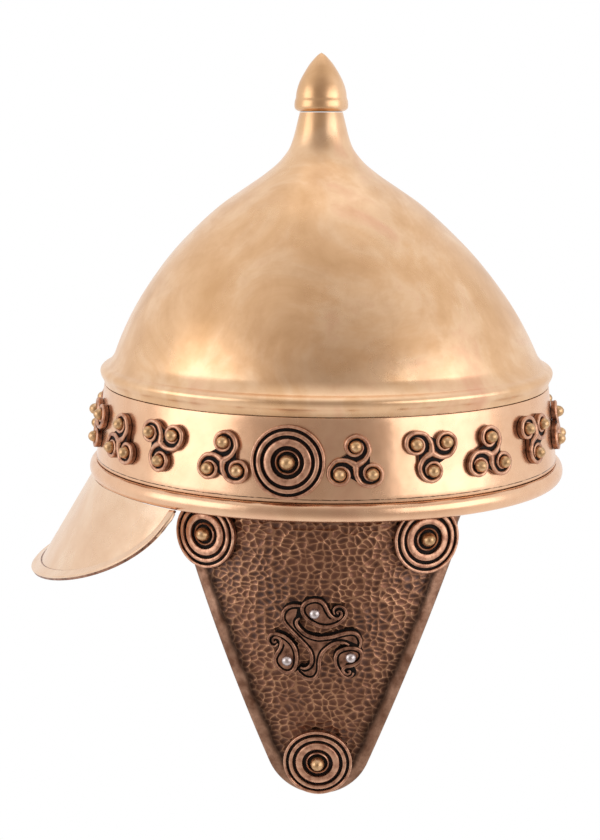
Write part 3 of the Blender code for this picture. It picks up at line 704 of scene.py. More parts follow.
def flowing(points, count):
    """A smooth line through the points, in even steps of the parameter."""
    last = len(points) - 1
    line = []
    for step in range(count + 1):
        spot = step / count * last
        index = min(int(spot), last - 1)
        share = spot - index
        near = [points[max(0, min(last, index + offset))] for offset in (-1, 0, 1, 2)]
        value = []
        for a, b, c, d in zip(*near):
            value.append(0.5 * (2 * b + (c - a) * share + (2 * a - 5 * b + 4 * c - d) * share ** 2
                                + (3 * b - a - 3 * c + d) * share ** 3))
        line.append(tuple(value))
    return line


def ridge(name, path, height, flat=1.0):
    """A rounded ridge along a path of (across, up, half width), its middle at a height."""
    piece = rod(name, [((across, up, 0.0), half) for across, up, half in path], 2)
    return moved(piece, lambda x, y, z: (x, y, z * flat + height))


def slab(name, outline, low, high, side, top):
    """A plate with a flat outline: its sides take one material and its top another."""
    piece = wire(name, [(x, y, low) for x, y in outline], closed=True)
    edit(piece)
    bpy.ops.mesh.edge_face_add()
    bpy.ops.mesh.extrude_region_move(TRANSFORM_OT_translate={"value": (0, 0, (high - low) * MM)})
    bpy.ops.mesh.select_all(action="SELECT")
    bpy.ops.mesh.normals_make_consistent(inside=False)
    bpy.ops.mesh.quads_convert_to_tris()
    done()
    clad(piece, side, top)
    for face in piece.data.polygons:
        face.material_index = 1 if face.normal.z > 0.7 else 0
    return piece


def bead(width, foot, across, up, rings, steps, stretch=1.0):
    """A round rivet head standing on its seat, drawn up by a stretch."""
    deselect()
    radius = width / 2
    bpy.ops.mesh.primitive_uv_sphere_add(segments=steps, ring_count=rings, radius=radius * MM,
                                         location=(across * MM, up * MM, (foot + radius * BALL_LIFT) * MM))
    bpy.ops.object.transform_apply(location=True)
    piece = bpy.context.object
    edit(piece)
    bpy.ops.mesh.bisect(plane_co=(0, 0, foot * MM), plane_no=(0, 0, 1), clear_inner=True, use_fill=True)
    done()
    return moved(piece, lambda x, y, z: (x, y, foot + (z - foot) * stretch))


def on_band(turn, height):
    """Lays a flat drawing on the band round one place."""
    def spot(across, up, proud):
        z = height + up * cos(FLARE_ANGLE)
        half_length, half_width = band_axes(z)
        pace = hypot(half_width * cos(turn), half_length * sin(turn))
        point, normal = oval_frame(half_length, half_width, turn - across / pace, z)
        normal = normal * cos(FLARE_ANGLE)
        normal.z = sin(FLARE_ANGLE)
        return point + normal * proud
    return spot


# Cast triskeles

ARM = 8.1
LOOP = 0.94
BALL = 5.6
# Points of (across, up, half width)
HUB = ((0.0, 0.0, 1.6), (0.75, -1.4, 1.45), (1.5, -2.7, 1.25), (2.9, -4.2, 1.08))
# Rows of (degrees round the ball, distance from it, half width)
LOOP_ROWS = (
    (-112, 6.48, 1.0), (-90, 5.85, 0.97), (-60, 5.28, 0.95), (-30, 4.92, 0.95), (0, 4.72, 0.95),
    (45, 4.48, 0.93), (90, 4.38, 0.9), (135, 4.31, 0.86), (175, 4.04, 0.78), (215, 3.64, 0.62),
    (255, 3.3, 0.48), (290, 3.05, 0.28), (310, 2.95, 0.12),
)
TRISKELE_TOP = 3.3
TRISKELE_BED = 2.1
TRISKELE_MARGIN = 0.8


def arm_path():
    """One arm, out from the hub and round its ball, drawn with the lobe along +across."""
    points = list(HUB)
    for swing, reach, half in LOOP_ROWS:
        turn = radians(swing)
        points.append((ARM + reach * LOOP * cos(turn), reach * LOOP * sin(turn), half))
    return flowing(points, 84)


def turned_flat(points, turn):
    """Turns flat points about the middle; a third value is kept."""
    return [(x * cos(turn) - y * sin(turn), x * sin(turn) + y * cos(turn), *rest) for x, y, *rest in points]


def make_triskele_pattern():
    """The casting, drawn flat with one arm up: dark bed, three looping ridges and three balls."""
    outline = []
    pieces = []
    for arm in range(3):
        turn = pi / 2 + arm * 2 * pi / 3
        path = turned_flat(arm_path(), turn)
        pieces.append(clad(ridge("arm", path, TRISKELE_TOP - 0.95, 0.9), COPPER))
        rim = []
        for swing in range(-118, 142, 10):
            reach = smooth_row([row[:2] for row in LOOP_ROWS], swing) * LOOP + TRISKELE_MARGIN
            angle = radians(swing)
            rim.append((ARM + reach * cos(angle), reach * sin(angle)))
        outline += turned_flat(rim, turn)
        ball = bead(BALL, TRISKELE_BED, ARM * cos(turn), ARM * sin(turn), 10, 18, 1.13)
        pieces.append(clad(ball, BRASS))
    bed = slab("bed", outline, SEAT, TRISKELE_BED, DARK_COPPER, PATINA)
    return joined("triskele_pattern", [bed] + pieces)


ONE_ARM_UP = (1, 3, 5, 6, 8, 10, 12, 14, 15, 17)
TRISKELE_RISE = 0.3


def make_triskeles():
    """Eighteen castings round the band, one arm up and two arms up by turns."""
    pattern = make_triskele_pattern()
    middle = RIM_HEIGHT + BAND_HEIGHT / 2 + TRISKELE_RISE
    half_length, half_width = band_axes(middle)
    for number in range(1, 19):
        node = f"triskele_{number:02d}"
        low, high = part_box(node)
        centre = (low + high) / 2
        turn = atan2(-centre.x / half_width, -centre.y / half_length)
        sense = 1.0 if number in ONE_ARM_UP else -1.0
        spot = on_band(turn, middle - sense * ARM / 4)
        piece = copied(pattern, f"cast_triskele_{number:02d}")
        moved(piece, lambda x, y, z: spot(sense * x, sense * y, z))
        settle(piece, 50.0, "shell", "cast_copper", node)
    bpy.data.objects.remove(pattern)


# Ringed discs and medallions

# Rows of (share of the radius, share of the height, 1 where it is black)
RINGS = (
    (1.0, 0.0, 0), (1.0, 0.74, 0), (0.994, 0.9, 0), (0.98, 0.97, 0), (0.945, 0.97, 0),
    (0.924, 0.91, 0), (0.914, 0.66, 1), (0.906, 0.5, 1), (0.846, 0.5, 1),
    (0.838, 0.66, 0), (0.828, 0.92, 0), (0.805, 0.98, 0), (0.755, 0.98, 0), (0.732, 0.92, 0),
    (0.722, 0.64, 1), (0.714, 0.48, 1), (0.646, 0.48, 1),
    (0.638, 0.64, 0), (0.626, 0.92, 0), (0.6, 1.0, 0), (0.475, 1.0, 0), (0.448, 0.93, 0),
    (0.436, 0.64, 1), (0.428, 0.46, 1), (0.346, 0.46, 1),
    (0.338, 0.62, 0), (0.328, 0.84, 0), (0.306, 0.92, 0), (0.288, 0.84, 0),
    (0.278, 0.62, 1), (0.27, 0.46, 1), (0.12, 0.46, 1), (0.0, 0.46, 1),
)


WALL_FROM = 0.985
WALL_TOP = 0.72


def make_disc_pattern(name, radius, height, lift, ball):
    """Rings within rings, black between them, round a brass ball."""
    section = [(0.0, lift)] + [(radius * out, lift + height * up) for out, up, _ in RINGS]
    piece = turned(name, section, 72)
    clad(piece, COPPER, PATINA, DARK_COPPER)
    bounds = [(radius * row[0], row[2]) for row in RINGS]
    for face in piece.data.polygons:
        reach = hypot(face.center.x, face.center.y) / MM
        level = face.center.z / MM - lift
        dark = 0
        for (outer, kind), (inner, other) in zip(bounds, bounds[1:]):
            if inner <= reach <= outer and kind and other:
                dark = 1
        face.material_index = dark
        if reach > radius * WALL_FROM and level < height * WALL_TOP:
            face.material_index = 2
    seat = lift + height * RINGS[-1][1]
    return joined(name, [piece, clad(bead(ball, seat, 0.0, 0.0, 14, 24, 1.3), BRASS)])


MEDALLION_RADIUS = 16.3
MEDALLION_RISE = -0.8
MEDALLION_HEIGHT = 3.4
MEDALLION_BALL = 6.8
DISC_RADIUS = 15.2
DISC_HEIGHT = 2.9
DISC_BALL = 6.2


def make_medallions():
    """The large ringed disc in the middle of each side of the band."""
    pattern = make_disc_pattern("medallion_pattern", MEDALLION_RADIUS, MEDALLION_HEIGHT, SEAT,
                                MEDALLION_BALL)
    for side_name, side in SIDES.items():
        spot = on_band(pi / 2 if side < 0 else 3 * pi / 2, RIM_HEIGHT + BAND_HEIGHT / 2 + MEDALLION_RISE)
        piece = copied(pattern, "ringed_medallion_" + side_name)
        settle(moved(piece, spot), 50.0, "shell", "cast_copper", "medallion_" + side_name,
               "medallion_ball_" + side_name)
    bpy.data.objects.remove(pattern)


# Cheek guards

CHEEK_TURN = radians(6.0)
CHEEK_SHEET = 1.8
CHEEK_TOP_WIDTH = 133.0
CHEEK_SHOULDER_WIDTH = 128.0
CHEEK_SHOULDER_DROP = 20.0
CHEEK_DROP = 132.0
CHEEK_NOSE_WIDTH = 49.0
CHEEK_HEAD = 6.0
CHEEK_LEAN = radians(9.0)
CHEEK_BEND = radians(15.0)
CHEEK_RAISE = 0.5
HINGE_INSET = 8.2
HINGE_HEIGHT = 3.0
HINGE_WIDTH = 36.0
KNUCKLES = 5
KNUCKLE_WIDTH = 4.4
PIN_WIDTH = 2.0
DISC_INSET = 16.0
DISC_DROP = 14.3
DISC_SET_BACK = 2.2
LOW_DISC_INSET = 16.8
ORNAMENT_DROP = 60.4
ORNAMENT_BALL = 4.9
ORNAMENT_SHIFT = -0.9
INNER_WALL = BAND_SHEET + SEAT + SKULL_SHEET


class CheekFrame:
    """Where one cheek guard hangs: its hinge axis and its curved face."""

    def __init__(self, side):
        half_length, half_width = band_axes(HINGE_HEIGHT, INNER_WALL)
        self.outward = Vector((side * cos(CHEEK_TURN), -sin(CHEEK_TURN), 0.0))
        reach = hypot(half_length * sin(CHEEK_TURN), half_width * cos(CHEEK_TURN))
        wall = Vector((side * half_width ** 2 * cos(CHEEK_TURN) / reach,
                       -half_length ** 2 * sin(CHEEK_TURN) / reach, HINGE_HEIGHT))
        self.across = (-self.outward).cross(Vector((0.0, 0.0, 1.0)))
        self.axis = wall - self.outward * HINGE_INSET
        self.radius = (half_length * half_width) ** 2 / reach ** 3 - HINGE_INSET

    def on_axis(self, across, up, proud):
        """A point square to the hinge axis."""
        return self.axis + self.across * across + self.outward * proud + Vector((0.0, 0.0, up))

    def on_face(self, across, up, proud):
        """A point over the guard's outer face. Up is from the axis, along the face."""
        turn = across / self.radius
        down = -up
        tilt = CHEEK_LEAN - CHEEK_BEND * max(0.0, down) / CHEEK_DROP
        mean = (CHEEK_LEAN + tilt) / 2
        bulge = CHEEK_SHEET / 2 - self.radius * (1.0 - cos(turn)) + down * sin(mean)
        base = self.axis + self.across * (self.radius * sin(turn)) + self.outward * bulge
        base.z -= down * cos(mean)
        normal = (self.outward * cos(turn) + self.across * sin(turn)) * cos(tilt)
        normal.z = sin(tilt)
        return base + normal * proud

    def shifted(self, across, up):
        """The face's rule, moved sideways and up."""
        return lambda x, y, z: self.on_face(x + across, y + up, z)


NOSE_RADIUS = CHEEK_NOSE_WIDTH / 2
NOSE_CENTRE = CHEEK_DROP - NOSE_RADIUS
SHOULDER = (CHEEK_SHOULDER_WIDTH / 2, CHEEK_SHOULDER_DROP)
NOSE_TURN = (atan2(NOSE_CENTRE - SHOULDER[1], SHOULDER[0])
             - acos(NOSE_RADIUS / hypot(SHOULDER[0], NOSE_CENTRE - SHOULDER[1])))
CHEEK_CORNERS = ((CHEEK_TOP_WIDTH / 2, -CHEEK_HEAD), SHOULDER,
                 (NOSE_RADIUS * cos(NOSE_TURN), NOSE_CENTRE - NOSE_RADIUS * sin(NOSE_TURN)))


def cheek_half(down):
    """The plate's half width at a way down from the hinge axis."""
    for (x0, y0), (x1, y1) in zip(CHEEK_CORNERS, CHEEK_CORNERS[1:]):
        if down < y1:
            return x0 + (x1 - x0) * (down - y0) / (y1 - y0)
    return sqrt(max(0.0, NOSE_RADIUS ** 2 - (down - NOSE_CENTRE) ** 2))


def edge_distance(across, down):
    """How far a point of the plate lies inside its edge."""
    if down > NOSE_CENTRE:
        return NOSE_RADIUS - hypot(across, down - NOSE_CENTRE)
    slope = cheek_half(down + 0.5) - cheek_half(down - 0.5)
    return (cheek_half(down) - abs(across)) / hypot(1.0, slope)


PLATE_COLUMNS = 96
PLATE_ROWS = 104
BACK_COLUMNS = 48
BACK_ROWS = 50
STRAIGHT_ROWS = 0.82
FIELD_INSET = 0.5
BACK_FACE = -CHEEK_SHEET + 0.02
# Painted shade on the field beside the raised border: gone at so many millimetres in from the edge, fading in
# over so many, and at most so strong
EDGE_SHADE_REACH = 13.0
EDGE_SHADE_FADE = 5.5
FIELD_EDGE_SHADE = 0.5


def waves(x, y):
    """The slow rise and fall of a beaten sheet."""
    return 0.09 * sin(x * 0.21 + 1.3 * sin(y * 0.11)) * sin(y * 0.17 + 0.9 * sin(x * 0.13)) - 0.1


def cheek_path(spacing):
    """The plate's edge, down one flank, round the nose and up the other: points and inward directions."""
    half = []
    for (x0, y0), (x1, y1) in zip(CHEEK_CORNERS, CHEEK_CORNERS[1:]):
        count = round(hypot(x1 - x0, y1 - y0) / spacing)
        half += [(x0 + (x1 - x0) * step / count, y0 + (y1 - y0) * step / count) for step in range(count)]
    count = round(NOSE_RADIUS * (pi / 2 + NOSE_TURN) / spacing)
    for step in range(count + 1):
        turn = (pi / 2 + NOSE_TURN) * step / count - NOSE_TURN
        half.append((NOSE_RADIUS * cos(turn), NOSE_CENTRE + NOSE_RADIUS * sin(turn)))
    line = [(x, -y) for x, y in half] + [(-x, -y) for x, y in half[-2::-1]]
    path = []
    for index, (x, y) in enumerate(line):
        before, after = line[max(0, index - 1)], line[min(len(line) - 1, index + 1)]
        run = hypot(after[0] - before[0], after[1] - before[1])
        path.append((x, y, (after[1] - before[1]) / run, -(after[0] - before[0]) / run))
    return path


# Rows of (way in from the edge, height over the field, how beaten, how dark with painted shade: in the corner
# beside the raised border, on its outer wall and under it)
BORDER_SECTION = (
    (9.0, -0.3, 1.0, 0.2), (8.3, -0.04, 1.0, 0.4), (7.3, 0.0, 1.0, 0.7), (6.3, 0.03, 0.7, 0.85),
    (5.6, 0.15, 0.0, 0.72), (4.9, 0.33, 0.0, 0.35), (4.2, 0.43, 0.0, 0.1), (3.5, 0.48, 0.0, 0.0),
    (2.6, 0.49, 0.0, 0.0), (1.3, 0.47, 0.0, 0.0), (0.6, 0.4, 0.0, 0.1), (0.25, 0.22, 0.0, 0.2),
    (0.12, -0.1, 0.0, 0.2), (0.12, -1.55, 0.0, 0.3), (0.35, -1.78, 0.0, 0.4), (3.0, -1.8, 0.0, 0.4),
    (7.0, -1.8, 0.0, 0.4),
)


RAISED_ROWS = range(5, 11)
INNER_ROWS = range(7)
BORDER_STEP = 1.1


def flat_grid(name, columns, rows, rule):
    """A grid whose points are placed by a rule of their column and row."""
    piece = grid(name, columns, rows)
    return moved(piece, lambda x, y, z: rule(round(x * MM * columns), round(y * MM * rows)))


def face_up(piece):
    """Turns an open sheet's faces towards +Z."""
    if sum(face.normal.z * face.area for face in piece.data.polygons) < 0.0:
        flipped(piece)
    return piece


def plate_spot(column, row, columns, rows):
    """A point of the flat plate, across and down, with rows closing up round the nose."""
    straight = round(rows * STRAIGHT_ROWS)
    if row <= straight:
        down = -CHEEK_HEAD + (NOSE_CENTRE + CHEEK_HEAD) * row / straight
    else:
        down = NOSE_CENTRE + NOSE_RADIUS * sin(pi / 2 * (row - straight) / (rows - straight))
    half = max(0.0, cheek_half(min(down, CHEEK_DROP)) - FIELD_INSET)
    return half * (2.0 * column / columns - 1.0), min(down, CHEEK_DROP - FIELD_INSET)


def finish_layers(piece, tell):
    """Keeps where a flat piece is beaten, where it is darkened with painted shade, and its flat place."""
    mesh = piece.data
    pairs = [tell(vertex.index) for vertex in mesh.vertices]
    mesh.attributes.new("field", "FLOAT", "POINT").data.foreach_set("value", [pair[0] for pair in pairs])
    mesh.attributes.new("darkening", "FLOAT", "POINT").data.foreach_set("value", [pair[1] for pair in pairs])
    spots = mesh.uv_layers.new(name="flat")
    for loop, spot in zip(mesh.loops, spots.data):
        spot.uv = mesh.vertices[loop.vertex_index].co.xy


def make_plate_pattern():
    """The cheek guard drawn flat: a beaten field, a raised smooth border and a plain back."""
    def front(column, row):
        across, down = plate_spot(column, row, PLATE_COLUMNS, PLATE_ROWS)
        return across, -down, waves(across, -down)

    field = flat_grid("field", PLATE_COLUMNS, PLATE_ROWS, front)

    # Painted shade: the field darkened near the raised border
    def shadow(index):
        spot = field.data.vertices[index].co
        away = edge_distance(spot.x / MM, -spot.y / MM)
        return 1.0, FIELD_EDGE_SHADE * max(0.0, min(1.0, (EDGE_SHADE_REACH - away) / EDGE_SHADE_FADE))

    finish_layers(field, shadow)
    face_up(field)

    def rear(column, row):
        across, down = plate_spot(column, row, BACK_COLUMNS, BACK_ROWS)
        return across, -down, BACK_FACE

    back = flipped(face_up(flat_grid("back", BACK_COLUMNS, BACK_ROWS, rear)))
    # The back is darkened as painted shade
    finish_layers(back, lambda index: (0.0, 0.4))
    path = cheek_path(BORDER_STEP)

    def edge_strip(column, row):
        x, y, across, up = path[column]
        inward, proud = BORDER_SECTION[row][:2]
        wave = 0.07 * sin(column * 0.83) * sin(inward * 0.9 + column * 0.31) if row in RAISED_ROWS else 0.0
        if row in INNER_ROWS:
            inward += 0.5 * sin(column * 0.43) * sin(column * 0.13)
        return x + across * inward, y + up * inward, min(0.5, proud + wave)

    strip = flat_grid("border", len(path) - 1, len(BORDER_SECTION) - 1, edge_strip)
    outwards(strip)
    tops = [face for face in strip.data.polygons if 0.4 < face.center.z / MM < 0.6]
    if tops[0].normal.z < 0.0:
        flipped(strip)
    finish_layers(strip, lambda index: BORDER_SECTION[index // len(path)][2:])
    top_edge = CHEEK_TOP_WIDTH / 2 - 0.3

    def head_strip(column, row):
        return top_edge * (2.0 * column / BACK_COLUMNS - 1.0), CHEEK_HEAD, (0.0, BACK_FACE)[row]

    head = flat_grid("head", BACK_COLUMNS, 1, head_strip)
    # The head's edge is darkened as painted shade
    finish_layers(head, lambda index: (0.0, 0.3))
    plate = joined("plate_pattern", [field, back, strip, head])
    return clad(plate, HAMMERED)


def notch_head(piece):
    """Cuts the place for the hinge out of the plate's head."""
    clear = KNUCKLE_WIDTH / 2 + 2 * SEAT
    side = HINGE_WIDTH / 2 + 2 * SEAT
    gone = []
    for face in piece.data.polygons:
        across, up = face.center.x / MM, face.center.y / MM
        gone.append(abs(across) < side and up > -clear)
    edit(piece)
    bpy.ops.mesh.select_mode(type="FACE")
    bpy.ops.mesh.select_all(action="DESELECT")
    done()
    for face, cut in zip(piece.data.polygons, gone):
        face.select = cut
    bpy.ops.object.mode_set(mode="EDIT")
    bpy.ops.mesh.delete(type="FACE")
    done()
    return piece


def make_knuckles(frame_of):
    """The plate's two knuckles, bored for the pin, each on its tongue."""
    step = (HINGE_WIDTH + SEAT) / KNUCKLES
    clear = KNUCKLE_WIDTH / 2 + 2 * SEAT
    parts = []
    for index in range(1, KNUCKLES, 2):
        low = -HINGE_WIDTH / 2 + index * step
        high = low + step - SEAT
        outer, bore, soft = KNUCKLE_WIDTH / 2, PIN_WIDTH / 2 + SEAT, 0.25
        section = [(bore, low), (outer - soft, low), (outer, low + soft), (outer, high - soft)]
        section += [(outer - soft, high), (bore, high)]
        barrel = turned("knuckle", section, 32, closed=True)
        moved(barrel, lambda x, y, z: frame_of.on_axis(z, x, y))
        deselect()
        bpy.ops.mesh.primitive_cube_add(size=1.0)
        tongue = bpy.context.object
        top, foot = -(PIN_WIDTH / 2 + 2 * SEAT + 0.6), -clear - 2 * CHEEK_SHEET
        half = CHEEK_SHEET * 0.45

        def lay(x, y, z):
            across = low + SEAT if x < 0 else high - SEAT
            return frame_of.on_face(across, foot if y < 0 else top, (half if z > 0 else -half) - half)

        moved(tongue, lay)
        for part in (barrel, tongue):
            # The knuckles and tongues are darkened as painted shade
            finish_layers(part, lambda index: (0.0, 0.3))
            clad(part, HAMMERED)
            parts.append(part)
    return parts


# The cast ornament in the middle of each cheek guard

# Points of (across, up), drawn: three arms, and two of the three heads
ARM_WIRES = (
    ((-6.9, 12.4), (-8.1, 11.5), (-8.5, 10.0), (-7.7, 8.3), (-6.0, 6.5), (-3.9, 4.95), (-1.4, 4.0),
     (1.3, 3.5), (4.3, 3.8), (7.4, 4.3), (10.75, 5.35), (13.8, 6.0), (16.2, 6.1), (18.1, 5.2),
     (19.3, 3.4), (19.7, 1.3), (19.2, -0.8)),
    ((14.5, 0.6), (12.6, 1.5), (10.0, 1.7), (7.4, 0.95), (5.1, -0.75), (3.2, -2.7), (2.15, -4.9),
     (1.7, -7.5), (1.7, -10.2), (1.2, -12.6), (-0.2, -14.6), (-2.45, -15.4), (-5.1, -14.7),
     (-7.4, -12.8), (-8.2, -11.6)),
    ((-6.6, -10.3), (-4.7, -10.5), (-2.75, -9.4), (-1.8, -7.5), (-1.7, -5.3), (-2.4, -2.8),
     (-4.1, -0.4), (-6.4, 2.1), (-8.7, 4.4), (-10.9, 6.6), (-12.9, 8.7), (-14.3, 10.65),
     (-14.75, 12.6), (-14.3, 14.7), (-13.0, 16.5), (-10.9, 17.7), (-8.7, 18.0), (-6.6, 17.8)),
)
TOP_HEAD = (
    (8.1, 14.5), (7.7, 16.2), (8.7, 17.7), (10.75, 18.0), (12.6, 16.8), (13.3, 14.9), (12.6, 13.0),
    (10.9, 11.1), (8.5, 9.6), (5.1, 8.75), (1.7, 9.05), (-1.5, 10.4), (-4.15, 12.45), (-5.8, 14.9),
    (-5.85, 17.4), (-4.5, 19.3), (-2.3, 20.4), (0.2, 20.7), (2.45, 20.0), (4.0, 18.3), (5.1, 16.0),
    (6.4, 14.0), (8.3, 12.6), (10.2, 12.65), (11.2, 14.0), (10.9, 15.5), (9.9, 15.9), (9.25, 15.2),
    (9.8, 14.6),
)
RIGHT_HEAD = (
    (16.6, -12.3), (15.85, -13.8), (14.15, -14.5), (12.4, -13.8), (10.75, -11.9), (9.3, -9.6),
    (8.6, -7.2), (8.7, -4.7), (9.8, -2.6), (12.1, -1.4), (14.9, -0.9), (17.9, -1.3), (19.7, -2.6),
    (20.2, -4.5), (19.6, -6.4), (17.9, -7.9), (15.7, -8.9), (13.6, -9.3), (12.2, -10.1), (11.9, -11.2),
    (12.7, -12.4), (14.1, -12.9), (15.1, -12.2), (14.8, -11.3), (14.0, -11.6),
)
TOP_BALL = (-0.5, 14.8)
RIGHT_BALL = (15.2, -5.0)
LEFT_TURN = radians(122.8)
LEFT_SIZE = 0.97
LEFT_SHIFT = (-0.6, 1.2)
# The ornament's painted shadow film: moved up the drawing by so much, and out past the wires by so much
SHADOW_FILM_LIFT = 0.6
SHADOW_FILM_SPREAD = -0.95
PANEL_INSET = 1.6
HEAD_INSET = 1.58
COIL_RADIUS = 2.9
HEAD_STEPS = 170
WIRE_SINK = 0.85
ARM_HALVES = (0.45, 0.86, 0.92, 0.92, 0.86, 0.5)
HEAD_HALVES = (0.4, 0.6, 0.78, 0.9, 0.92, 0.9, 0.8, 0.58, 0.4)


def beside(line, way, closed=False):
    """The line moved sideways: to its right by so much."""
    shifted = []
    total = len(line)
    for index in range(total):
        before = line[(index - 1) % total] if closed else line[max(0, index - 1)]
        after = line[(index + 1) % total] if closed else line[min(total - 1, index + 1)]
        run = max(0.001, hypot(after[0] - before[0], after[1] - before[1]))
        shifted.append((line[index][0] + (after[1] - before[1]) / run * way,
                        line[index][1] - (after[0] - before[0]) / run * way))
    return shifted


def tapered(line, halves):
    """A line of points with half widths that run through the given knots."""
    last = len(line) - 1
    knots = [(index / (len(halves) - 1), half) for index, half in enumerate(halves)]
    return [(x, y, smooth_row(knots, index / last)) for index, (x, y) in enumerate(line)]


def in_left_place(points):
    """The top head's points, turned into the left head's place."""
    return [(LEFT_SIZE * x + LEFT_SHIFT[0], LEFT_SIZE * y + LEFT_SHIFT[1])
            for x, y in turned_flat(points, LEFT_TURN)]


def painted_shadow_film(lines, thickness, closed=False):
    """A thin near-black film laid round a casting and lifted towards its upper side: painted shadow of its
    walls.
    """
    lifted = [(x, y + SHADOW_FILM_LIFT) for line in lines for x, y in beside(line, SHADOW_FILM_SPREAD, closed)]
    return slab("darkening", lifted, 0.0, thickness, PATINA, PATINA)


def make_ornament_pattern():
    """The casting, drawn flat: a three-armed panel inside its wires, three drop-shaped heads with
    curled tails, and three silver balls."""
    bed, panel, wire_top = 1.5, 2.1, 2.9
    wire_middle = wire_top - WIRE_SINK
    arms = [flowing(points, 70) for points in ARM_WIRES]
    outline = [point for arm in arms for point in beside(arm, -0.75)]
    inset = [point for arm in arms for point in beside(arm[3:-3], PANEL_INSET)]
    # The bed, the panel and a film of painted shadow round the arms
    pieces = [slab("arm_bed", outline, SEAT, bed, PATINA, PATINA),
              slab("arm_panel", inset, bed - 0.2, panel, PATINA, DARK_COPPER),
              painted_shadow_film(arms, 0.34)]
    for arm in arms:
        pieces.append(clad(ridge("wire", tapered(arm, ARM_HALVES), wire_middle), DARK_COPPER))
    heads = ((TOP_HEAD, TOP_BALL, 6, 6), (RIGHT_HEAD, RIGHT_BALL, 3.5, 6.5),
             (in_left_place(TOP_HEAD), in_left_place([TOP_BALL])[0], 6, 6))
    for outline, ball, start, end in heads:
        line = flowing(outline, HEAD_STEPS)
        total = len(outline) - 1
        body = line[round(HEAD_STEPS * start / total):round(HEAD_STEPS * (total - end) / total)]
        pieces.append(slab("head_bed", beside(body, -0.7, True), SEAT, bed - 0.05, PATINA, PATINA))
        # A film of painted shadow round the head
        pieces.append(painted_shadow_film([body], 0.33, True))
        inset = beside(body, HEAD_INSET, True)[3:-3]
        pieces.append(slab("head_panel", inset, bed - 0.2, panel, PATINA, DARK_COPPER))
        coil = outline[-3]
        disc = [(coil[0] + COIL_RADIUS * cos(step * pi / 12), coil[1] + COIL_RADIUS * sin(step * pi / 12))
                for step in range(24)]
        pieces.append(slab("coil_bed", disc, SEAT, bed - 0.1, PATINA, PATINA))
        pieces.append(clad(ridge("wire", tapered(line, HEAD_HALVES), wire_middle), DARK_COPPER))
        pieces.append(clad(bead(ORNAMENT_BALL, panel, ball[0], ball[1], 12, 22), SILVER))
    return joined("ornament_pattern", pieces)


def make_cheek_guards():
    """Both cheek guards: plate with its hinge knuckles, three ringed discs and the ornament."""
    plate_pattern = notch_head(make_plate_pattern())
    disc_pattern = make_disc_pattern("disc_pattern", DISC_RADIUS, DISC_HEIGHT, CHEEK_RAISE + SEAT,
                                     DISC_BALL)
    ornament_pattern = make_ornament_pattern()
    for side_name, side in SIDES.items():
        frame_of = CheekFrame(side)
        body = "cheek_guard_" + side_name
        plate = moved(copied(plate_pattern, "plate"), frame_of.on_face)
        plate = joined("hammered_cheek_" + side_name, [plate] + make_knuckles(frame_of))
        settle(plate, 60.0, body, "dark_copper", "cheek_plate_" + side_name)
        reach = CHEEK_TOP_WIDTH / 2 - DISC_INSET
        spots = (("front", side * (DISC_SET_BACK - reach), -DISC_DROP),
                 ("back", side * (DISC_SET_BACK + reach), -DISC_DROP),
                 ("low", 0.0, -(CHEEK_DROP - LOW_DISC_INSET)))
        for place_name, across, up in spots:
            disc = copied(disc_pattern, "ringed_disc_" + place_name + "_" + side_name)
            moved(disc, frame_of.shifted(across, up))
            settle(disc, 50.0, body, "cast_copper", f"cheek_disc_{side_name}_{place_name}",
                   f"cheek_disc_ball_{side_name}_{place_name}")
        ornament = copied(ornament_pattern, "curling_ornament_" + side_name)
        moved(ornament, frame_of.shifted(ORNAMENT_SHIFT, -ORNAMENT_DROP))
        balls = [f"ornament_ball_{side_name}_{number}" for number in (1, 2, 3)]
        settle(ornament, 50.0, body, "cast_copper", "cheek_ornament_" + side_name, *balls)
    for pattern in (plate_pattern, disc_pattern, ornament_pattern):
        bpy.data.objects.remove(pattern)


make_skull()
make_knob()
make_band()
make_rim()
make_neck_guard()
make_triskeles()
make_medallions()
make_cheek_guards()
for hinge_side in SIDES:
    for node_name in ("hinge_leaf_" + hinge_side, "hinge_pin_" + hinge_side):
        clad(bpy.data.objects[node_name], BRASS)


# Camera, light and backdrop

camera_data = bpy.data.cameras.new("camera")
camera_data.sensor_width = 36.0
camera_data.lens = 66.99
camera_data.clip_start = 0.01
camera = linked("camera", camera_data)
forward = Vector((0.96651, 0.17011, -0.19214)).normalized()
rightward = Vector((0.17334, -0.98486, 0.0)).normalized()
upward = rightward.cross(forward)
turning = Matrix((rightward, upward, -forward)).transposed().to_4x4()
camera.matrix_world = Matrix.Translation((-0.7526, -0.1199, 0.1746)) @ turning
bpy.context.scene.camera = camera


def softbox(name, spot, aim, size, power):
    """A large soft light that looks at a point."""
    light = bpy.data.lights.new(name, "AREA")
    light.shape = "RECTANGLE"
    light.size, light.size_y = size
    light.energy = power
    lamp = linked(name, light)
    lamp.location = spot
    lamp.rotation_euler = (Vector(aim) - Vector(spot)).to_track_quat("-Z", "Y").to_euler()


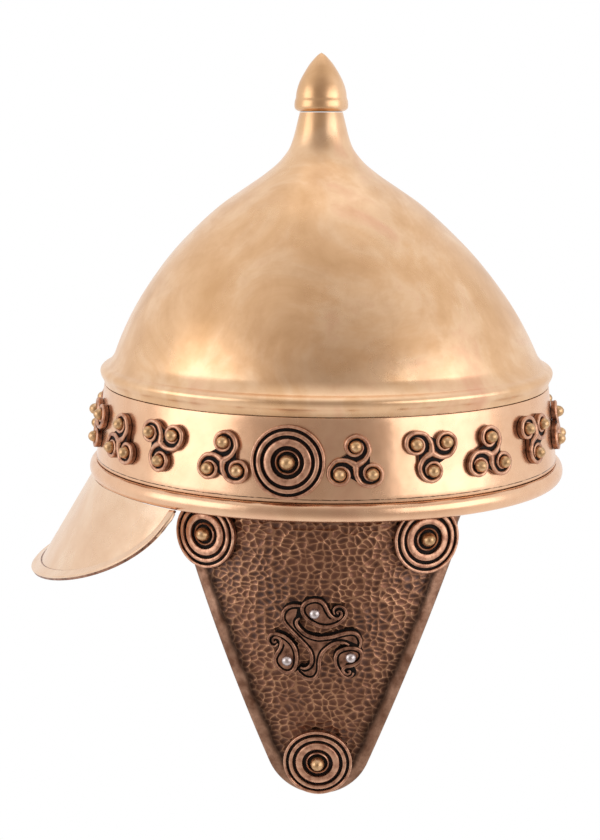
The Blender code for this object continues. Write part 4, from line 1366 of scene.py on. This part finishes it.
FLOOR_HALF = 2500.0
SWEEP_START = 900.0
SWEEP_RADIUS = 600.0
WALL_HEIGHT = 2600.0


def backdrop():
    """A white paper sweep: floor, curve and wall behind, lit so that it stays white."""
    material, _, shader = new_finish("white_paper", 0.9, 0.0)
    shader.inputs["Base Color"].default_value = shade("#F2F2F2")
    shader.inputs["Emission Color"].default_value = (1.0, 1.0, 1.0, 1.0)
    shader.inputs["Emission Strength"].default_value = 0.55
    low = CAD_BOX[0][2] / MM - 0.5
    section = [(-FLOOR_HALF, low)]
    for step in range(13):
        turn = step * pi / 24
        section.append((SWEEP_START + SWEEP_RADIUS * sin(turn), low + SWEEP_RADIUS * (1.0 - cos(turn))))
    section.append((SWEEP_START + SWEEP_RADIUS, WALL_HEIGHT))
    sweep = wire("backdrop", [(x, -FLOOR_HALF, z) for x, z in section])
    edit(sweep)
    bpy.ops.mesh.extrude_region_move(TRANSFORM_OT_translate={"value": (0.0, 2 * FLOOR_HALF * MM, 0.0)})
    done()
    rounded(clad(sweep, material), 60.0)


backdrop()
softbox("left", (-0.9, 1.24, 0.36), (0.0, 0.0, 0.05), (1.15, 1.1), 5.4)
softbox("right", (-0.74, -1.38, 0.36), (0.0, 0.0, 0.05), (1.5, 1.1), 8.0)
softbox("top", (0.5, 0.0, 1.9), (0.0, 0.0, 0.0), (1.4, 1.4), 1.5)
world = bpy.data.worlds.new("pale_room")
world.use_nodes = True
room = world.node_tree
bearing = add(room, "ShaderNodeTexCoord").outputs["Generated"]
towards = add(room, "ShaderNodeVectorMath", {"operation": "DOT_PRODUCT"}, n0=bearing,
              n1=(-0.967, -0.17, 0.192))
ROOM_TONES = [(0.05, "#FFFFFF"), (0.42, "#F5F2EF"), (0.62, "#DED9D4"), (0.82, "#BFB6AF"), (1.0, "#A89F98")]
glow = ramp(room, towards.outputs["Value"], ROOM_TONES)
room.links.new(glow, room.nodes["Background"].inputs["Color"])
room.nodes["Background"].inputs["Strength"].default_value = 1.0
bpy.context.scene.world = world
bpy.context.scene.view_settings.view_transform = "Standard"
